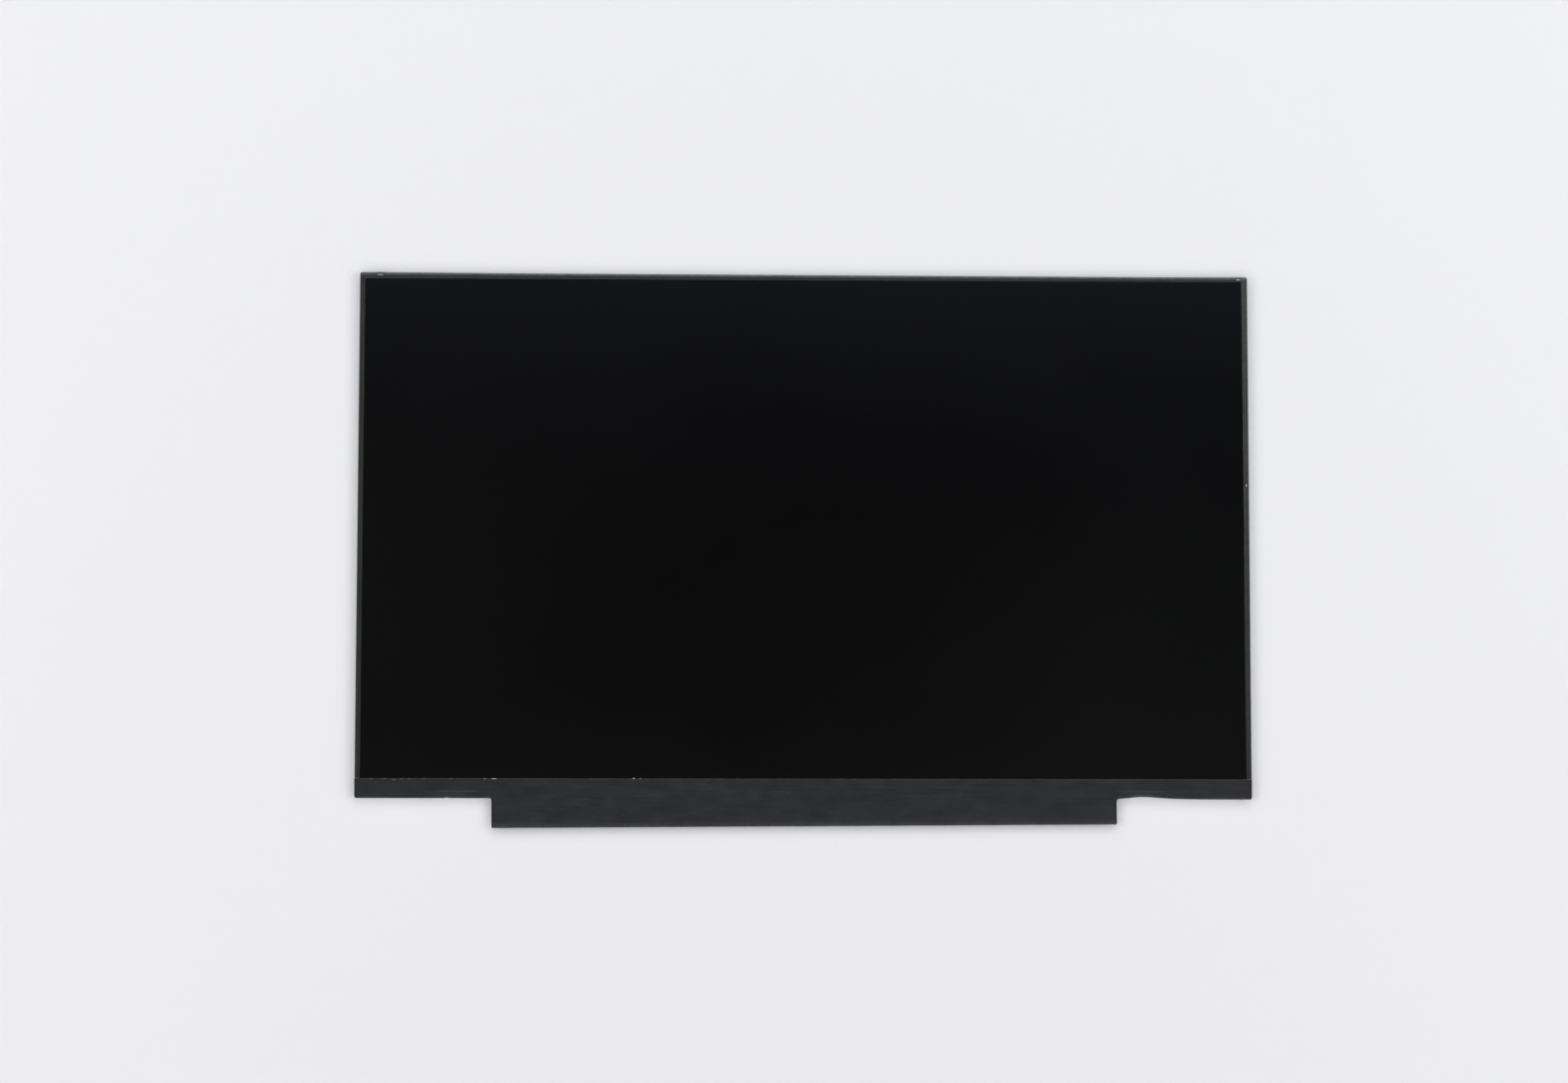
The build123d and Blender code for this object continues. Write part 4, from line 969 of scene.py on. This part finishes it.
def addFillet(bag, middle, ends, half, reach, height, kind, turned):  # wedge of solder at each end of a part
    u, v = middle
    place = (lambda a, b, w: onBoard(u + a, v + b, w)) if turned else (lambda a, b, w: onBoard(u - b, v + a, w))
    for side in (-1, 1):
        start = side * (ends - 0.02)
        profile = [(start, 0.0), (start + side * reach, 0.0)]
        profile += [(start + side * reach * out, height * up) for out, up in hollow]
        profile.append((start + side * 0.02, height))
        if side < 0:
            profile.reverse()
        count = len(profile)
        points = [place(a, -half, w) for a, w in profile] + [place(a, half, w) for a, w in profile]
        faces = [tuple(range(count)), tuple(range(2 * count - 1, count - 1, -1))]
        faces += [(k, k + count, (k + 1) % count + count, (k + 1) % count) for k in range(count)]
        intoBag(bag, points, faces, kind)


def islands(nodeName):  # middle and size, on the board, of each solid of a node
    node = nodes[nodeName]
    spots = [node.matrix_world @ v.co / mm for v in node.data.vertices]
    keys = [tuple(round(c, 3) for c in s) for s in spots]
    chief = {k: k for k in keys}

    def head(k):
        while chief[k] != k:
            k = chief[k]
        return k

    for face in node.data.polygons:
        first = head(keys[face.vertices[0]])
        for other in face.vertices[1:]:
            chief[head(keys[other])] = first
    groups = {}
    for key, s in zip(keys, spots):
        groups.setdefault(head(key), []).append(offBoard(*s))
    found = []
    for group in groups.values():
        low, high = [min(p[i] for p in group) for i in range(3)], [max(p[i] for p in group) for i in range(3)]
        middle = ((low[0] + high[0]) / 2, (low[1] + high[1]) / 2)
        found.append((middle, [h - l for l, h in zip(low, high)]))
    return sorted(found)


# two-ended parts: ceramic between two tinned caps, soldered at both ends; the coat is on top of the ceramic
smallParts = {
    "ceramic_capacitors": {
        "finishes": ["capacitorCeramic", "solderTin"], "slot": "capacitor_ceramic",
        "cap": 0.24, "coat": None, "turned": False, "solder": 0.42,
    },
    "chip_resistors": {
        "finishes": ["fuseCeramic", "solderTin", "resistorCeramic"], "slot": "resistor_ceramic",
        "cap": 0.2, "coat": 2, "turned": False, "solder": 0.7,
    },
    "fuse": {
        "finishes": ["fuseCeramic", "solderTin", "capacitorCeramic"], "slot": "fuse_ceramic",
        "cap": 0.3, "coat": 2, "turned": True, "solder": 0.7,
    },
}


def buildSmallParts(name, part):
    dice = random.Random(len(name))
    turned, cap, coat = part["turned"], part["cap"], part["coat"]
    bag = newBag()
    for (u, v), (width, depth, height) in islands(name):
        long, wide = (width, depth) if turned else (depth, width)
        u += 0.03 * (dice.random() - 0.5)
        size = (lambda a, b, h: (a, b, h) if turned else (b, a, h))
        shift = (lambda a: (u + a, v) if turned else (u, v + a))
        bare = long - 2 * cap
        addBlock(bag, (u, v), size(bare + 0.02, wide - 0.07, height - 0.03), 0, 0.03)
        if coat:
            addBlock(bag, (u, v), size(bare - 0.02, wide - 0.09, height - 0.012), coat, 0.01, height - 0.05)
        for side in (-1, 1):
            addBlock(bag, shift(side * (long - cap) / 2), size(cap, wide, height), 1, 0.05)
        addFillet(bag, (u, v), long / 2, wide / 2, 0.2, height * part["solder"], 1, turned)
    bagPiece(name + "_soldered", bag, part["finishes"], [name])


for partName, partLook in smallParts.items():
    buildSmallParts(partName, partLook)

# tinned feet round the chips (count and pitch on each side), terminals of the coils and leads of the diodes
chipFeet = {
    "timing_controller": (12, 0.45), "power_regulator": (6, 0.5),
    "backlight_driver": (4, 0.5), "settings_memory": (4, 0.5),
}
twoSided = ["settings_memory"]
footSize = {"wide": 0.22, "long": 0.34, "high": 0.12}
coilNames = ["inductor_1", "inductor_2", "inductor_3"]


def buildFeet():
    bag = newBag()
    wide, long, high = footSize["wide"], footSize["long"], footSize["high"]
    for name, (count, pitch) in chipFeet.items():
        (u, v), (width, depth, height) = islands(name)[0]
        for k in range(count):
            along = (k - (count - 1) / 2) * pitch
            for side in (-1, 1):
                if name not in twoSided:
                    addBlock(bag, (u + along, v + side * depth / 2), (wide, long, high), 0, 0.03)
                if name not in twoSided or abs(along) < depth / 2 - 0.3:
                    addBlock(bag, (u + side * width / 2, v + along), (long, wide, high), 0, 0.03)
    for name in coilNames:
        (u, v), (width, depth, height) = islands(name)[0]
        for side in (-1, 1):
            addBlock(bag, (u + side * (width / 2 - 0.2), v), (0.46, depth - 0.86, 0.16), 0, 0.04)
        addFillet(bag, (u, v), width / 2, (depth - 0.9) / 2, 0.3, height * 0.4, 0, True)
    for (u, v), (width, depth, height) in islands("diodes"):
        for side in (-1, 1):
            addBlock(bag, (u, v + side * (depth / 2 - 0.2)), (0.56, 0.42, 0.14), 0, 0.03)
        addFillet(bag, (u, v), depth / 2, 0.3, 0.25, 0.12, 0, False)
        addBlock(bag, (u, v - depth * 0.22), (width + 0.01, 0.22, height + 0.006), 1, 0.0, height - 0.1)
    bagPiece("tinned_feet", bag, ["solderTin", "fuseCeramic"])


buildFeet()

# copper under the mask, vias, test pads, solder on the lamp tail, and plain outlines printed round the chips
boardCopper = {
    "runWidth": 0.13, "rise": 0.012, "lanePitch": 0.24, "laneStagger": 1.6,
    # first lane, lanes, ends, and the places where the whole bundle steps across
    "bundles": [
        (0.5, 5, (-96.0, 104.0), [(-88.0, 0.35), (-52.0, -0.35), (-20.0, 0.3), (30.0, -0.3), (69.0, 0.4)]),
        (6.95, 3, (-104.0, 66.0), [(-55.0, -0.4), (-18.0, 0.4), (37.0, -0.3)]),
    ],
    "spokes": 4, "spokeWidth": 0.12, "spokeEnds": (2.05, 6.4), "spokeVia": 0.17,
    "viaRow": (-106.0, 66.0, 3.1, 7.95), "rowVia": 0.15, "clearOf": (85.7, 1.6),  # past the board's two notches
    "viaGroups": [
        (-68.9, 7.0), (-81.5, 5.8), (49.0, 2.0), (16.5, 6.0),
        (-30.0, 2.4), (28.0, 6.0), (92.0, 6.3), (-20.5, 3.0),
    ],
    "groupVia": 0.14, "groupPitch": (0.55, 0.5), "groupCount": 6,
    "testPads": [
        (-98.0, 6.4), (-41.0, 4.3), (-38.5, 4.3), (-36.0, 4.3), (-22.0, 5.9), (19.5, 4.3),
        (22.0, 4.3), (24.5, 4.3), (56.5, 5.9), (105.5, 2.6), (105.5, 6.6),
    ],
    "testPad": (0.42, 0.02, 0.012),  # radius, height, dome
    "tail": {"middle": 62.2, "v": 3.15, "pads": 6, "pitch": 1.5, "drop": (0.5, 0.1, 0.14)},
    "outlined": ["timing_controller", "power_regulator", "backlight_driver", "settings_memory", "inductor_3"],
    "outline": {"off": 0.45, "arm": 0.7, "width": 0.1, "height": 0.01},
}


def addRuns(runs, look):
    for first, lanes, ends, jogs in look["bundles"]:
        for k in range(lanes):
            v = first + look["lanePitch"] * k
            line = [(ends[0] + look["laneStagger"] * k, v)]
            for place, across in jogs:
                u = place + math.copysign(0.1 * k, -across)
                line += [(u, v), (u + abs(across), v + across)]
                v += across
            line.append((ends[1] - look["laneStagger"] * k, v))
            addStrip(runs, line, look["runWidth"], look["rise"], 0)


def addSpokes(runs, pads, look):  # short runs from the chips and coils to a via each
    count, rise, (upper, lower) = look["spokes"], look["rise"], look["spokeEnds"]
    for name in list(chipFeet) + coilNames:
        (u, v), (width, depth, height) = islands(name)[0]
        for k in range(count):
            x = u + (k - (count - 1) / 2) * width / (count + 0.5)
            for near, far in ((v - depth / 2 - 0.1, upper), (v + depth / 2 + 0.1, lower)):
                if abs(near - v) < abs(far - v) - 0.3:
                    addStrip(runs, [(x, near), (x, far)], look["spokeWidth"], rise + 0.002, 0)
                    addDisc(pads, (x, far), look["spokeVia"], rise * 1.6, 1, sides=10)


def addVias(pads, look):
    dice = random.Random(38)
    rise = look["rise"]
    start, stop, pitch, v = look["viaRow"]
    notch, clear = look["clearOf"]
    for u in steps(start, stop, pitch):
        if abs(abs(u) - notch) > clear:
            addDisc(pads, (u + 0.4 * (dice.random() - 0.5), v), look["rowVia"], rise * 1.5, 1, sides=10)
    along, down = look["groupPitch"]
    for u, v in look["viaGroups"]:
        for k in range(look["groupCount"]):
            addDisc(pads, (u + along * (k % 2), v + down * (k // 2)), look["groupVia"], rise * 1.6, 1, sides=10)


def addOutlines(pads, look):
    mark = look["outline"]
    for name in look["outlined"]:
        (u, v), (width, depth, height) = islands(name)[0]
        a, b = width / 2 + mark["off"], depth / 2 + mark["off"]
        for x, y in ((-1, -1), (1, -1), (1, 1), (-1, 1)):
            corner = (u + x * a, v + y * b)
            level = [(corner[0] - x * mark["arm"], corner[1]), corner]
            upright = [corner, (corner[0], corner[1] - y * mark["arm"])]
            for line in (level, upright):
                addStrip(pads, line, mark["width"], mark["height"], 2)


def buildBoardCopper(look):
    runs, pads = newBag(), newBag()
    addRuns(runs, look)
    addSpokes(runs, pads, look)
    addVias(pads, look)
    radius, height, dome = look["testPad"]
    for spotOn in look["testPads"]:
        addDisc(pads, spotOn, radius, height, 0, dome)
    tail = look["tail"]
    radius, height, dome = tail["drop"]
    for k in range(tail["pads"]):
        u = tail["middle"] + (k - (tail["pads"] - 1) / 2) * tail["pitch"]
        addDisc(pads, (u, tail["v"]), radius, height, 0, dome)
    addOutlines(pads, look)
    bagPiece("board_runs", runs, ["maskedCopper"])
    bagPiece("board_pads", pads, ["solderTin", "contactGold", "boardPrint"])


buildBoardCopper(boardCopper)

# ground foil: thin and crinkled, from the rim of the plate up to the board
groundFoil = {
    "middle": -101.7, "width": 8.0, "line": [(-90.55, 0.045), (-92.9, 0.045), (-94.3, 1.265), (-97.3, 1.265)],
    "bend": 0.3, "thickness": 0.045, "crinkle": 0.09, "floor": 0.004, "stray": 0.05,
    "columns": 44, "runs": (16, 10, 18), "turns": 6, "nearEdge": (0.003, 0.15),  # rows close to the cut edges
}


def buildFoil(foil):
    line = foldLine(foil["line"], (foil["bend"], foil["bend"]), foil["runs"], foil["turns"])
    beside, behind = foil["nearEdge"]
    line = [line[0], line[0].lerp(line[1], behind)] + line[1:-1] + [line[-1].lerp(line[-2], behind), line[-1]]
    shares = [0, beside] + [k / foil["columns"] for k in range(1, foil["columns"])] + [1 - beside, 1]
    points = []
    for j, share in enumerate(shares):
        x = foil["middle"] + foil["width"] * (share - 0.5)
        for i, s in enumerate(line):
            loose = math.sin(math.pi * i / (len(line) - 1)) ** 0.5
            fold = abs(noise.noise(Vector((x * 0.9 + i * 0.12, i * 0.35 - x * 0.3, 3.0))))
            fold += 0.5 * abs(noise.noise(Vector((x * 2.3, i * 0.8, 6.0))))
            height = max(foil["floor"], s.y - foil["crinkle"] * fold * loose)
            points.append((x + foil["stray"] * (ripple(i * 0.4, j * 0.01, 2.0) - 0.5), s.x, height))
    count = len(line)
    faces = []
    for j in range(len(shares) - 1):
        for a in range(j * count, (j + 1) * count - 1):
            faces.append((a, a + count, a + count + 1, a + 1))
    piece = addPiece("ground_foil_crinkled", points, faces, ["foil", "foil"], ["ground_foil"])
    thicken(piece, foil["thickness"])


buildFoil(groundFoil)
print("rear side dressed")
